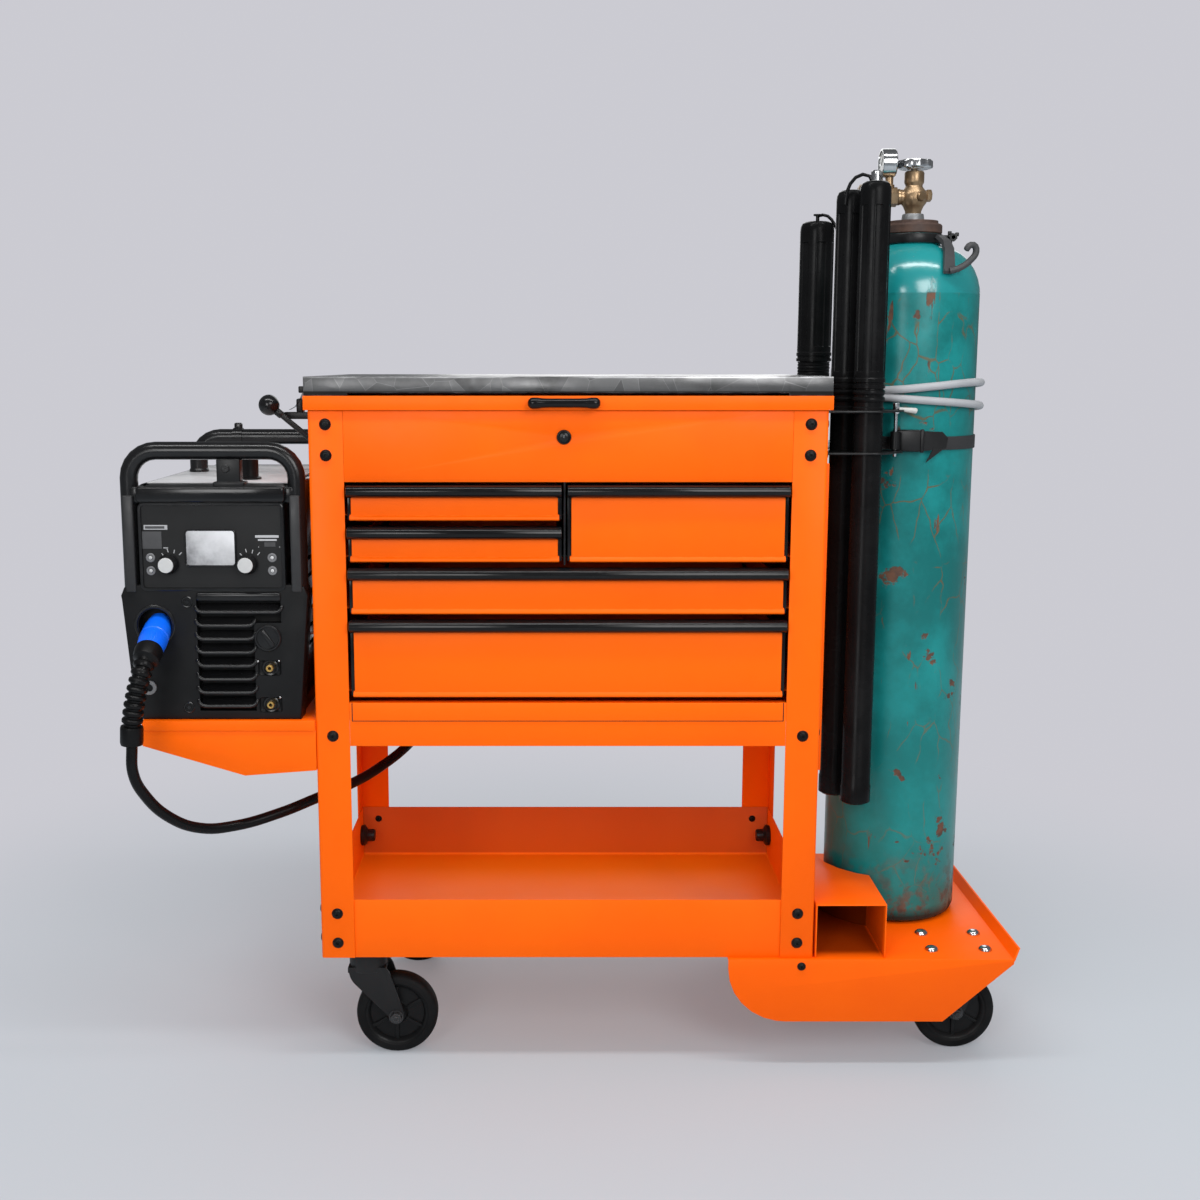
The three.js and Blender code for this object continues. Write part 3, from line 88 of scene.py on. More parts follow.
def put(tree, kind, sockets=(), **settings):
    """A new node with its settings and inputs."""
    node = tree.nodes.new(kind)
    for key, value in settings.items():
        setattr(node, key, value)
    wire(tree, node, sockets)
    return node


def maths(tree, operation, *values):
    return put(tree, "ShaderNodeMath", enumerate(values), operation=operation).outputs[0]


def ramp(tree, value, start, full, least=0.0, most=1.0, ease="LINEAR"):
    """Goes from least to most, and no further, while a value goes from start to full."""
    return put(tree, "ShaderNodeMapRange", {"Value": value, "From Min": start, "From Max": full, "To Min": least,
                                            "To Max": most}, interpolation_type=ease).outputs[0]


world = bpy.data.worlds.new("studio")
bpy.context.scene.world = world
world.use_nodes = True
sky = world.node_tree
sky.nodes.clear()
ambient = put(sky, "ShaderNodeBackground", {"Color": (0.95, 0.97, 1.0, 1.0), "Strength": 0.62})
pale = put(sky, "ShaderNodeBackground", {"Color": BACKDROP, "Strength": 1.0})
dim = put(sky, "ShaderNodeBackground", {"Color": (0.92, 0.95, 1.0, 1.0), "Strength": 0.16})
ray = put(sky, "ShaderNodeLightPath").outputs
mirrored = put(sky, "ShaderNodeMixShader", {0: ray["Is Glossy Ray"], 1: ambient.outputs[0], 2: dim.outputs[0]})
seen = put(sky, "ShaderNodeMixShader", {0: ray["Is Camera Ray"], 1: mirrored.outputs[0], 2: pale.outputs[0]})
put(sky, "ShaderNodeOutputWorld", {"Surface": seen.outputs[0]})

for name, place, wide, deep, power in (
        ("key_lamp", (1.2, -2.9, 2.1), 1.4, 1.4, 42.0), ("fill_lamp", (-1.1, -3.0, 1.5), 0.9, 1.2, 22.0),
        ("top_lamp", (0.0, -0.9, 3.0), 3.4, 0.25, 40.0), ("rear_lamp", (0.6, 3.0, 2.2), 2.4, 2.4, 30.0)):
    lamp = bpy.data.lights.new(name, "AREA")
    lamp.shape = "RECTANGLE"
    lamp.size = wide
    lamp.size_y = deep
    lamp.energy = power
    holder = bpy.data.objects.new(name, lamp)
    holder.location = place
    holder.rotation_mode = "QUATERNION"
    holder.rotation_quaternion = (LAMPS_AIM_AT - Vector(place)).to_track_quat("-Z", "Y")
    bpy.context.scene.collection.objects.link(holder)

bm = bmesh.new()
bmesh.ops.create_circle(bm, cap_ends=True, segments=96, radius=FLOOR_RADIUS)
floor_mesh = bpy.data.meshes.new("floor")
bm.to_mesh(floor_mesh)
bm.free()
floor = bpy.data.objects.new("floor", floor_mesh)
bpy.context.scene.collection.objects.link(floor)
floor_paint = bpy.data.materials.new("floor_paint")
floor_paint.use_nodes = True
tree = floor_paint.node_tree
tree.nodes.clear()
matt = put(tree, "ShaderNodeBsdfDiffuse", {"Color": (0.485, 0.525, 0.558, 1.0)})
glow = put(tree, "ShaderNodeEmission", {"Color": BACKDROP, "Strength": 1.0})
reach = put(tree, "ShaderNodeVectorMath", {0: put(tree, "ShaderNodeTexCoord").outputs["Object"]}, operation="LENGTH")
fade = ramp(tree, reach.outputs["Value"], 0.75, 1.8, least=0.25, ease="SMOOTHSTEP")
shown = maths(tree, "MULTIPLY", fade, put(tree, "ShaderNodeLightPath").outputs["Is Camera Ray"])
mixed = put(tree, "ShaderNodeMixShader", {0: shown, 1: matt.outputs[0], 2: glow.outputs[0]})
put(tree, "ShaderNodeOutputMaterial", {"Surface": mixed.outputs[0]})
floor_mesh.materials.append(floor_paint)

# Torch cable and gas hose: two rubber cords. The cable leaves the plug on the machine, hangs in a loop, passes
# between the left legs and is coiled on the peg behind; the hose goes twice round the bottle and back to the machine.
leg_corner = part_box("front_left_leg")[0]
CART = Matrix.Translation(leg_corner - Vector((-0.370, 0.0, 0.174))) @ Matrix.Scale(0.001, 4)


def shared_group(name, output, **inputs):
    """A node group with one output; its first input, Place, is where on the piece."""
    tree = bpy.data.node_groups.new(name, "ShaderNodeTree")
    for label, value in {"Place": (0.0, 0.0, 0.0), **inputs}.items():
        kind = "NodeSocketVector" if isinstance(value, tuple) else "NodeSocketFloat"
        tree.interface.new_socket(name=label, in_out="INPUT", socket_type=kind).default_value = value
    tree.interface.new_socket(name=output, in_out="OUTPUT", socket_type="NodeSocketFloat")
    return tree, tree.nodes.new("NodeGroupInput").outputs, tree.nodes.new("NodeGroupOutput").inputs[0]


# Cloudy patches between two levels of a noise, for smudges, fading and uneven gloss
blotches, given, result = shared_group("blotches", "Patch", Scale=5.0, Low=0.4, High=0.65)
cloud = put(blotches, "ShaderNodeTexNoise", {"Vector": given["Place"], "Scale": given["Scale"], "Detail": 6.0,
                                             "Roughness": 0.6})
blotches.links.new(ramp(blotches, cloud.outputs[0], given["Low"], given["High"], ease="SMOOTHSTEP"), result)

# Fine surface grain that can be drawn out along an axis, for moulded texture, brushing and orange peel
grain, given, result = shared_group("grain", "Height", Scale=600.0, Stretch=(1.0, 1.0, 1.0))
drawn = put(grain, "ShaderNodeVectorMath", {0: given["Place"], 1: given["Stretch"]}, operation="MULTIPLY")
grain.links.new(put(grain, "ShaderNodeTexNoise", {"Vector": drawn.outputs[0], "Scale": given["Scale"], "Detail": 3.0,
                                                  "Roughness": 0.55}).outputs[0], result)

# Rubbed edges: where the rounded normal leaves the face's own normal, broken up by a noise
rubbed_edges, given, result = shared_group("rubbed_edges", "Wear", Radius=0.0015, Scale=60.0, Reach=0.5)
round_normal = put(rubbed_edges, "ShaderNodeBevel", {"Radius": given["Radius"]}, samples=4).outputs[0]
own_normal = put(rubbed_edges, "ShaderNodeNewGeometry").outputs["Normal"]
agree = put(rubbed_edges, "ShaderNodeVectorMath", {0: round_normal, 1: own_normal}, operation="DOT_PRODUCT")
speckle = put(rubbed_edges, "ShaderNodeTexNoise", {"Vector": given["Place"], "Scale": given["Scale"], "Detail": 5.0})
worn = maths(rubbed_edges, "MULTIPLY", ramp(rubbed_edges, agree.outputs["Value"], 0.99, 0.85),
             ramp(rubbed_edges, speckle.outputs[0], 0.42, 0.62))
rubbed_edges.links.new(maths(rubbed_edges, "MULTIPLY", worn, given["Reach"]), result)


def use(tree, shared, place, **values):
    return put(tree, "ShaderNodeGroup", {"Place": place, **values}, node_tree=shared).outputs[0]


def patches(tree, place, scale, low, high):
    return use(tree, blotches, place, Scale=scale, Low=low, High=high)


def mix(tree, share, first, second):
    tones = [(*tone, 1.0) if isinstance(tone, tuple) else tone for tone in (first, second)]
    return put(tree, "ShaderNodeMix", {0: share, 6: tones[0], 7: tones[1]}, data_type="RGBA").outputs[2]


def blank(name):
    material = bpy.data.materials.new(name)
    material.use_nodes = True
    tree = material.node_tree
    place = put(tree, "ShaderNodeTexCoord").outputs["Object"]
    return material, tree, tree.nodes["Principled BSDF"], place


def bumped(tree, shader, height, strength, distance=0.0004):
    bump = put(tree, "ShaderNodeBump", {"Height": height, "Strength": strength, "Distance": distance})
    tree.links.new(bump.outputs[0], shader.inputs["Normal"])


def coating(name, colour, shade, chip, gloss=(0.35, 0.5), peel=(700.0, 0.05), wear=0.4, metal=0.0, shine=0.3,
            stretch=(1.0, 1.0, 1.0), cloud=5.0):
    """A painted, moulded or plated finish: faded patches, rubbed edges, uneven gloss and a fine grain."""
    material, tree, shader, place = blank(name)
    faded = mix(tree, patches(tree, place, cloud, 0.38, 0.7), colour, shade)
    smudge = patches(tree, place, cloud * 3.1, 0.35, 0.7)
    wire(tree, shader, {"Base Color": mix(tree, use(tree, rubbed_edges, place, Reach=wear), faded, chip),
                        "Roughness": ramp(tree, smudge, 0.0, 1.0, *gloss), "Metallic": metal,
                        "Specular IOR Level": shine})
    bumped(tree, shader, use(tree, grain, place, Scale=peel[0], Stretch=stretch), peel[1])
    return material


def bezier(name, points, resolution):
    """A smooth curve through points."""
    data = bpy.data.curves.new(name, "CURVE")
    data.dimensions = "3D"
    data.resolution_u = resolution
    spline = data.splines.new("BEZIER")
    spline.bezier_points.add(len(points) - 1)
    for knot, point in zip(spline.bezier_points, points):
        knot.co = point
        knot.handle_left_type = knot.handle_right_type = "AUTO"
    return data


def handed(name, data, body, nodes):
    """Puts a piece in the scene, on its body and the solids that it stands for."""
    made = bpy.data.objects.new(name, data)
    bpy.context.scene.collection.objects.link(made)
    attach(made, body)
    if nodes:
        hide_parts(*nodes)
    return made


def cord_curve(name, points, radius, finish, slot, *nodes):
    data = bezier(name, [CART @ Vector(point) for point in points], 6)
    data.bevel_depth = radius
    data.bevel_resolution = 5
    data.use_fill_caps = True
    data.materials.append(finish)
    return handed(name, data, "cart", nodes)


black_rubber = coating("black_rubber", (0.004, 0.004, 0.0043), (0.007, 0.007, 0.0073), (0.02, 0.02, 0.02),
                       (0.24, 0.36), (900.0, 0.1), 0.2, shine=0.16)
grey_rubber = coating("grey_hose_rubber", (0.40, 0.405, 0.42), (0.31, 0.315, 0.33), (0.6, 0.6, 0.62), (0.38, 0.55),
                      (500.0, 0.08), 0.2)
COIL_CENTRE = (-112.0, 478.0, 745.0)
COIL_OUTER, COIL_PITCH, COIL_TURNS, CROSSING, LAYER, COIL_STEPS = 116.0, 19.5, 2.5, 0.5, 18.0, 154
cable_route = [(-597, -48, 651.3), (-600, -68, 633.3), (-610, -76, 591.3), (-617, -76, 547.3), (-618, -76, 523.0),
               (-618, -76, 483.3), (-607, -62, 447), (-579, -38, 406), (-543, -10, 381), (-499, 22, 374),
               (-438, 60, 382), (-389, 95, 394), (-336, 155, 403), (-302, 200, 414), (-263, 250, 436),
               (-245, 310, 452), (-233, 365, 461), (-229, 410, 459), (-228, 442, 464), (-228, 464, 478),
               (-228, 474, 501), (-228, 478, 545), (-228, 478, 610), (-228, 478, 680), (-228, 478, 725)]
for step in range(COIL_STEPS + 1):
    turns = step / COIL_STEPS * (2 * COIL_TURNS + CROSSING)
    climb = min(max((turns - COIL_TURNS) / CROSSING, 0.0), 1.0)
    radius = COIL_OUTER - COIL_PITCH * (min(turns, COIL_TURNS) - max(turns - COIL_TURNS - CROSSING, 0.0))
    angle = math.pi - 2 * math.pi * turns
    cable_route.append((COIL_CENTRE[0] + radius * math.cos(angle),
                        COIL_CENTRE[1] + LAYER * climb * climb * (3 - 2 * climb),
                        COIL_CENTRE[2] + radius * math.sin(angle)))
cable_route += [(4.0, 496.0, 729.0), (4.0, 496.0, 690.0)]
torch_cable = cord_curve("torch_cable_cord", cable_route, 0.008, black_rubber, "rubber", "torch_cable", "cable_coil")
BOTTLE = (534, 236, 0)
HOSE_LAY = 112.2


def round_bottle(degrees, height):
    turn = math.radians(degrees)
    return BOTTLE[0] + HOSE_LAY * math.cos(turn), BOTTLE[1] + HOSE_LAY * math.sin(turn), height


hose_route = [(461.7, 290, 1285.0), (461.7, 290, 1261.3), (441.7, 302, 1195.3), round_bottle(146, 1125.3)]
for degrees, rise in ((150, 94), (162, 58), (185, 36), (215, 28), (245, 29), (275, 34), (305, 39), (335, 40),
                      (365, 37), (395, 33), (425, 29), (455, 25), (485, 22), (515, 20), (545, 18), (575, 18),
                      (605, 17), (635, 13), (665, 9), (695, 5), (725, 1), (750, -3)):
    hose_route.append(round_bottle(degrees, 990 + rise))
hose_route += [(584, 357, 980), (536, 402, 965), (478, 452, 930), (410, 494, 868), (300, 512, 780), (160, 518, 690),
               (20, 518, 620), (-120, 518, 578), (-250, 520, 562), (-350, 534, 568), (-420, 548, 582),
               (-456, 544, 594), (-470, 512.6, 599.3), (-470, 478.9, 599.3)]
gas_hose = cord_curve("gas_hose_cord", hose_route, 0.006, grey_rubber, "grey_hose", "gas_hose")

# Torch plug: blue sleeve in the machine's socket, black boot, ribbed strain relief and collar along one bent axis.
# The torch hangs from the outer turn of the coil: tapered handle, round head, cup and back cap.
blue_plastic = coating("blue_sleeve_plastic", (0.005, 0.15, 0.95), (0.004, 0.11, 0.8), (0.2, 0.4, 0.9), (0.18, 0.3),
                       (900.0, 0.04), 0.3, shine=0.5)
black_plastic = coating("black_moulded_plastic", (0.006, 0.006, 0.0065), (0.011, 0.011, 0.0115), (0.03, 0.03, 0.032),
                        (0.26, 0.4), (1100.0, 0.08), 0.35)
pink_ceramic = coating("pink_ceramic", (0.55, 0.36, 0.28), (0.45, 0.28, 0.22), (0.7, 0.5, 0.4), (0.3, 0.5))


def piece(name, bm, finishes, body, slot, *nodes, crease=33, in_cart=True):
    """A finished form made a piece: in_cart forms are drawn in the cart's millimetres."""
    bmesh.ops.remove_doubles(bm, verts=bm.verts, dist=1e-4 if in_cart else 1e-7)
    bmesh.ops.recalc_face_normals(bm, faces=bm.faces)
    if in_cart:
        bm.transform(CART)
    mesh = bpy.data.meshes.new(name)
    bm.to_mesh(mesh)
    bm.free()
    mesh.shade_smooth()
    mesh.set_sharp_from_angle(angle=math.radians(crease))
    for finish in finishes if isinstance(finishes, list) else [finishes]:
        mesh.materials.append(finish)
    return handed(name, mesh, body, nodes)


def path_through(points):
    data = bezier("path", points, 10)
    holder = bpy.data.objects.new("path", data)
    line = [v.co.copy() for v in holder.to_mesh().vertices]
    holder.to_mesh_clear()
    bpy.data.objects.remove(holder)
    bpy.data.curves.remove(data)
    return line


def at_length(line, share):
    """Point and direction at a share of a line's length."""
    lengths = [0.0]
    for a, b in zip(line, line[1:]):
        lengths.append(lengths[-1] + (b - a).length)
    wanted = share * lengths[-1]
    i = max(k for k in range(len(line) - 1) if lengths[k] <= wanted + 1e-9)
    way = line[i + 1] - line[i]
    return line[i] + way * ((wanted - lengths[i]) / (lengths[i + 1] - lengths[i])), way.normalized()


def edges_of(verts):
    return list({e for v in verts for e in v.link_edges})


def loft(bm, line, stations, sides=28):
    """Round skin along a line: stations are (share of its length, radius)."""
    loops = []
    turn = before = None
    for share, radius in stations:
        centre, way = at_length(line, share)
        turn = way.to_track_quat("Z", "X") if turn is None else before.rotation_difference(way) @ turn
        before = way
        made = bmesh.ops.create_circle(bm, segments=sides, radius=radius,
                                       matrix=Matrix.Translation(centre) @ turn.to_matrix().to_4x4())["verts"]
        loops.append(edges_of(made))
    for a, b in zip(loops, loops[1:]):
        bmesh.ops.bridge_loops(bm, edges=a + b)
    for end in (loops[0], loops[-1]):
        bmesh.ops.edgeloop_fill(bm, edges=end)
    return bm


RIGHT, LEFT, BACK, FORWARD, UP = (1, 0, 0), (-1, 0, 0), (0, 1, 0), (0, -1, 0), (0, 0, 1)


def spun(bm, profile, place, axis=UP, steps=40, closed=False):
    """Turned form: a profile of (radius, height) spun round an axis through a place."""
    axis = Vector(axis)
    side = axis.orthogonal().normalized()
    points = [bm.verts.new(Vector(place) + axis * h + side * r) for r, h in profile]
    edges = [bm.edges.new(pair) for pair in zip(points, points[1:])]
    if closed:
        edges.append(bm.edges.new((points[-1], points[0])))
    bmesh.ops.spin(bm, geom=points + edges, cent=place, axis=axis, angle=2 * math.pi, steps=steps, use_merge=True)
    bmesh.ops.remove_doubles(bm, verts=bm.verts, dist=1e-4)
    return bm


plug_line = path_through([(-598, 28, 683.3), (-598, -4, 669.3), (-597, -48, 651.3), (-600, -68, 633.3),
                          (-610, -76, 591.3), (-617, -76, 547.3), (-618, -76, 523.3)])
bm = bmesh.new()
loft(bm, plug_line, [(0.0, 16), (0.03, 17.5), (0.1, 19.8), (0.19, 20.4), (0.194, 19.5), (0.204, 19.5), (0.208, 20.6),
                     (0.25, 20.5), (0.3, 19.4), (0.336, 18.4), (0.342, 17.0)])
plug = piece("torch_plug_sleeve", bm, blue_plastic, "cart", "blue_plastic", "torch_plug")
bm = bmesh.new()
loft(bm, plug_line, [(0.33, 15), (0.336, 18.8), (0.345, 20.0), (0.39, 19.6), (0.425, 18.4), (0.437, 13), (0.45, 11)])
boot = piece("torch_plug_boot", bm, black_rubber, "cart", "rubber")
bm = bmesh.new()
ribs = [(0.44, 11.0)]
RIBS, RIBS_START, RIBS_END = 8, 0.45, 0.862
for rib in range(RIBS):
    foot = RIBS_START + rib * (RIBS_END - RIBS_START) / RIBS
    ribs += [(foot, 11.0), (foot + 0.006, 13.6), (foot + 0.014, 14.9), (foot + 0.028, 14.9), (foot + 0.036, 13.6),
             (foot + 0.042, 11.0)]
loft(bm, plug_line, ribs + [(0.865, 11.0), (0.87, 15.5), (0.885, 16.3), (0.97, 16.3), (0.99, 15.2), (1.0, 9.0)])
strain_relief = piece("torch_strain_relief", bm, black_rubber, "cart", "rubber")
TORCH_HEAD = (4, 496, 556.7)
torch_line = [Vector((4, 496, 728.7)), Vector((4, 496, 650)), Vector((4, 496, 563.7))]
bm = bmesh.new()
loft(bm, torch_line, [(0, 8.2), (0.03, 9.5), (0.2, 11.2), (0.5, 12.4), (0.75, 12), (0.9, 10.8), (1.0, 8)])
GRIP_RINGS, RING_PITCH = 6, 0.06
for ring in range(GRIP_RINGS):
    start = 0.3 + ring * RING_PITCH
    loft(bm, torch_line, [(start, 11.6), (start + 0.005, 13.2), (start + 0.025, 13.2), (start + 0.03, 11.6)])
spun(bm, [(0, -26), (8.5, -26), (10, -23), (10, 23), (8.5, 26), (0, 26)], TORCH_HEAD, RIGHT)
spun(bm, [(0, 24), (6.2, 24), (7, 27), (7, 48), (5, 52), (0, 52)], TORCH_HEAD, RIGHT)
torch = piece("torch_handle", bm, black_plastic, "cart", "black_plastic", "tig_torch")
bm = bmesh.new()
spun(bm, [(3.5, -24), (6, -26), (6, -40), (5, -56), (3.5, -56)], TORCH_HEAD, RIGHT, closed=True)
torch_cup = piece("torch_cup", bm, pink_ceramic, "cart", "black_plastic")

# Frame: four folded angle legs, powder coated orange, bolted to the tray, the cabinet and the rack with black
# button-head bolts; the lower tray is a folded pan with black corner knobs that lock it to the rear legs. Its floor
# has a lighter tone of the coat, painted light, and its back wall a darker tone, painted shade under the cabinet.
orange = coating("orange_powder_coat", (0.98, 0.132, 0.0006), (0.93, 0.113, 0.0005), (1.0, 0.26, 0.03), (0.36, 0.5),
                 (420.0, 0.05), 0.4, shine=0.12, cloud=2.2)
slots = {row["node"]: row["material_slot"] for row in frame["record"]["subparts"]}


def round_over(bm, edges, width, segments, clamp=True):
    bmesh.ops.bevel(bm, geom=edges, offset=width, segments=segments, affect="EDGES", profile=0.5, material=-1,
                    clamp_overlap=clamp)


def eased(node, finish, width):
    """A copy of a sheet-metal solid with its edges rounded over."""
    bm = bmesh.new()
    bm.from_mesh(frame["nodes"][node].data)
    bmesh.ops.remove_doubles(bm, verts=bm.verts, dist=1e-6)
    bmesh.ops.dissolve_limit(bm, angle_limit=math.radians(1), verts=bm.verts, edges=bm.edges)
    edges = [e for e in bm.edges if len(e.link_faces) == 2 and e.calc_face_angle(0) > math.radians(30)]
    round_over(bm, edges, width / 1000, 2)
    return piece(f"{node}_sheet", bm, finish, frame["nodes"][node]["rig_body"], slots[node], node, crease=40,
                 in_cart=False)


for row in ("front", "rear"):
    for side in ("left", "right"):
        eased(f"{row}_{side}_leg", orange, 0.5)


def repainted(name):
    """A copy of the orange coat, with its tree, its coordinates and a call that lays another tone over it, as painted
    light or shade.
    """
    material = orange.copy()
    material.name = name
    tree = material.node_tree
    shader = next(n for n in tree.nodes if n.type == "BSDF_PRINCIPLED")
    axes = put(tree, "ShaderNodeSeparateXYZ", {0: put(tree, "ShaderNodeTexCoord").outputs["Object"]}).outputs

    def lay(mask, colour):
        under = shader.inputs["Base Color"].links[0].from_socket
        tree.links.new(mix(tree, mask, under, colour), shader.inputs["Base Color"])
        return material
    return tree, axes, lay


def all_of(tree, *masks):
    product = masks[0]
    for mask in masks[1:]:
        product = maths(tree, "MULTIPLY", product, mask)
    return product


tree, axes, lay = repainted("tray_coat_painted_light_and_shade")
low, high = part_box("lower_tray")
# Painted light: a lighter orange on the tray floor.
painted_light_tray_floor = all_of(tree, ramp(tree, axes["Z"], low.z + 0.006, low.z + 0.004),
                    ramp(tree, axes["Y"], low.y + 0.004, low.y + 0.008))
lay(painted_light_tray_floor, (1.0, 0.205, 0.004))
# Painted shade: a darker orange on the tray's back wall, in the shade of the cabinet above.
painted_shade_tray_back = all_of(tree, ramp(tree, axes["Z"], low.z + 0.004, low.z + 0.006),
                   ramp(tree, axes["Y"], high.y - 0.008, high.y - 0.004))
eased("lower_tray", lay(painted_shade_tray_back, (0.66, 0.1, 0.001)), 0.4)

black_bolt_finish = coating("black_oxide_bolt", (0.004, 0.004, 0.0045), (0.008, 0.008, 0.008), (0.05, 0.05, 0.05),
                            (0.3, 0.45), (800.0, 0.06), 0.4, shine=0.15)


def button_head(bm, place, axis, radius=8.0, height=4.2):
    spun(bm, [(0, height - 2.4), (2.2, height - 2.4), (2.5, height), (radius * 0.55, height * 0.96),
              (radius * 0.82, height * 0.72), (radius * 0.97, height * 0.3), (radius, 0), (radius, -0.6), (0, -0.6)],
         place, axis, 24)
    spun(bm, [(0, -0.5), (radius + 0.5, -0.5), (radius + 0.5, 0.3), (radius + 0.2, 0.6), (0, 0.6)], place, axis, 24)


LEG_OUT, LEG_BACK, LEG_BOLT = 370, 466, 25
CABINET_BOLTS, TRAY_BOLTS = (973, 929, 518), (244, 198)
bm = bmesh.new()
for side, outward in ((-1, LEFT), (1, RIGHT)):
    for z in CABINET_BOLTS + TRAY_BOLTS:
        button_head(bm, (side * (LEG_OUT - LEG_BOLT), 0, z), FORWARD)
        button_head(bm, (side * (LEG_OUT - LEG_BOLT), LEG_BACK, z), BACK)
        if side > 0 or z in TRAY_BOLTS:
            for y in (LEG_BOLT, LEG_BACK - LEG_BOLT):
                button_head(bm, (side * LEG_OUT, y, z), outward)
    button_head(bm, (side * 339, 462.5, 243), FORWARD, 5.5, 3.2)
button_head(bm, (352, -6, 163), FORWARD, 6, 3.5)
piece("frame_bolts", bm, black_bolt_finish, "cart", "black_paint")

bm = bmesh.new()
for x, inward in ((-366.5, RIGHT), (366.5, LEFT)):
    spun(bm, [(0, 0), (17, 0), (18.5, 2), (18.5, 7), (14, 10), (11, 12), (11, 22), (9.5, 24.5), (0, 25)],
         (x, 432, 222), inward, 28)
    spun(bm, [(0, 0), (9, 0), (9, 3.4), (0, 3.4)], (x, 452, 205), inward, 6)
piece("tray_corner_knobs", bm, black_plastic, "cart", "black_plastic")

# Cabinet: folded side panels with drawer ledges, back panel with the lid hinge, fascia, floor with the front rail.
# All spot-welded sheet in the same orange coat, inside too, with a thin stiffener on the right side and a rail strip
# over a black bar that is painted shade for the gap around it; the drawer divider is made black, painted shade for
# the dark gap between the drawers; the lid's lock is a black barrel with a bright key slot in the fascia.
for node in ("left_side_panel", "right_side_panel", "back_panel", "front_fascia", "cabinet_floor"):
    eased(node, orange, 0.35)
frame["nodes"]["compartment_floor"].material_slots[0].material = orange
# The divider is made black: painted shade for the dark gap between the drawers.
frame["nodes"]["drawer_divider"].material_slots[0].material = black_plastic


def block(bm, place, size):
    """A sharp box of a size, centred on a point or set by a matrix."""
    place = place if isinstance(place, Matrix) else Matrix.Translation(place)
    return bmesh.ops.create_cube(bm, size=1, matrix=place @ Matrix.Diagonal((*size, 1)))["verts"]


def bar(bm, low, high, rounding, segments=3):
    """A block between two corners with its edges rounded over."""
    low, high = Vector(low), Vector(high)
    made = block(bm, (low + high) / 2, high - low)
    if rounding:
        round_over(bm, edges_of(made), rounding, segments)
    return bm


piece("front_rail_strip", bar(bmesh.new(), (-315, -2.2, 541.5), (315, 0.5, 568.3), 0.9), orange,
      "cart", "orange_paint")
piece("side_stiffener", bar(bmesh.new(), (366, 40, 455), (380, 42.4, 915), 0.6), orange, "cart", "orange_paint")
# A black bar a little larger than the strip, behind it: painted shade for the gap around it.
piece("front_rail_painted_shade_bar", bar(bmesh.new(), (-316.4, -0.5, 540.4), (316.4, 0.3, 568.0), 0), black_plastic,
      "cart", "black_paint")
chrome = coating("nickel_plate", (0.62, 0.63, 0.64), (0.5, 0.51, 0.52), (0.8, 0.8, 0.8), (0.14, 0.3),
                 (300.0, 0.03), 0.3, metal=1.0)
LOCK = (-6, 0, 955)
bm = bmesh.new()
spun(bm, [(0, 18), (6.4, 18), (6.4, -0.3), (10.4, -0.3), (10.4, -1.4), (9.6, -2.8), (8.0, -3.2), (7.2, -2.4),
          (0, -2.4)], LOCK, BACK, 40)
block(bm, (-6, 15.5, 963), (10, 3, 28))
piece("lock_barrel", bm, black_bolt_finish, "lock_plug", "chrome", "lock_plug")
piece("lock_face", spun(bmesh.new(), [(0, -2.2), (6.8, -2.2), (6.8, -2.8), (5.8, -3.4), (0, -3.6)], LOCK, BACK, 32),
      black_plastic, "lock_plug", "chrome")
bm = bmesh.new()
block(bm, (-6, -3.4, 956), (1.4, 0.8, 4.2))
piece("lock_key_slot", bm, chrome, "lock_plug", "black_plastic")

# Lid: shallow orange pan on a piano hinge, with the steel bench top on its two feet and a black moulded pull.
# The bench top is a heavy folded plate, brushed along its length, smudged and scratched, with a painted highlight in
# patches over its top and along the fold, and painted shade along the turned-down edge.
eased("lid", orange, 0.8)
BENCH_TOP, BENCH_EDGE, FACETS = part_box("bench_top")[1].z, 1.0195, 24.0
bench_steel, tree, shader, place = blank("bench_steel")
brushed = use(tree, grain, place, Scale=260.0, Stretch=(0.03, 1.0, 1.0))
smudges = patches(tree, place, 7.0, 0.36, 0.66)
stains = patches(tree, place, 21.0, 0.5, 0.72)
plate = mix(tree, smudges, (0.135, 0.135, 0.137), (0.085, 0.085, 0.086))
plate = mix(tree, maths(tree, "MULTIPLY", stains, 0.6), plate, (0.05, 0.049, 0.048))
facets = put(tree, "ShaderNodeTexVoronoi", {"Vector": place, "Scale": FACETS}).outputs["Color"]
facet = ramp(tree, put(tree, "ShaderNodeSeparateColor", {0: facets}).outputs[0], 0.4, 1.0, most=0.22)
plate = mix(tree, facet, plate, (0.3, 0.3, 0.303))
scratch = put(tree, "ShaderNodeTexVoronoi", {"Vector": place, "Scale": FACETS}, feature="DISTANCE_TO_EDGE")
scratched = ramp(tree, scratch.outputs["Distance"], 0.008, 0.0, most=0.25)
plate = mix(tree, scratched, plate, (0.5, 0.5, 0.51))
height = put(tree, "ShaderNodeSeparateXYZ", {0: place}).outputs["Z"]
# Painted highlight: bright patches over the top face and along the fold at its front edge.
painted_highlight_fold = ramp(tree, height, BENCH_TOP - 0.0026, BENCH_TOP - 0.0014, most=0.6)
highlight_patches = patches(tree, place, 5.0, 0.4, 0.6)
plate = mix(tree, maths(tree, "MULTIPLY", painted_highlight_fold, highlight_patches), plate, (0.62, 0.62, 0.63))
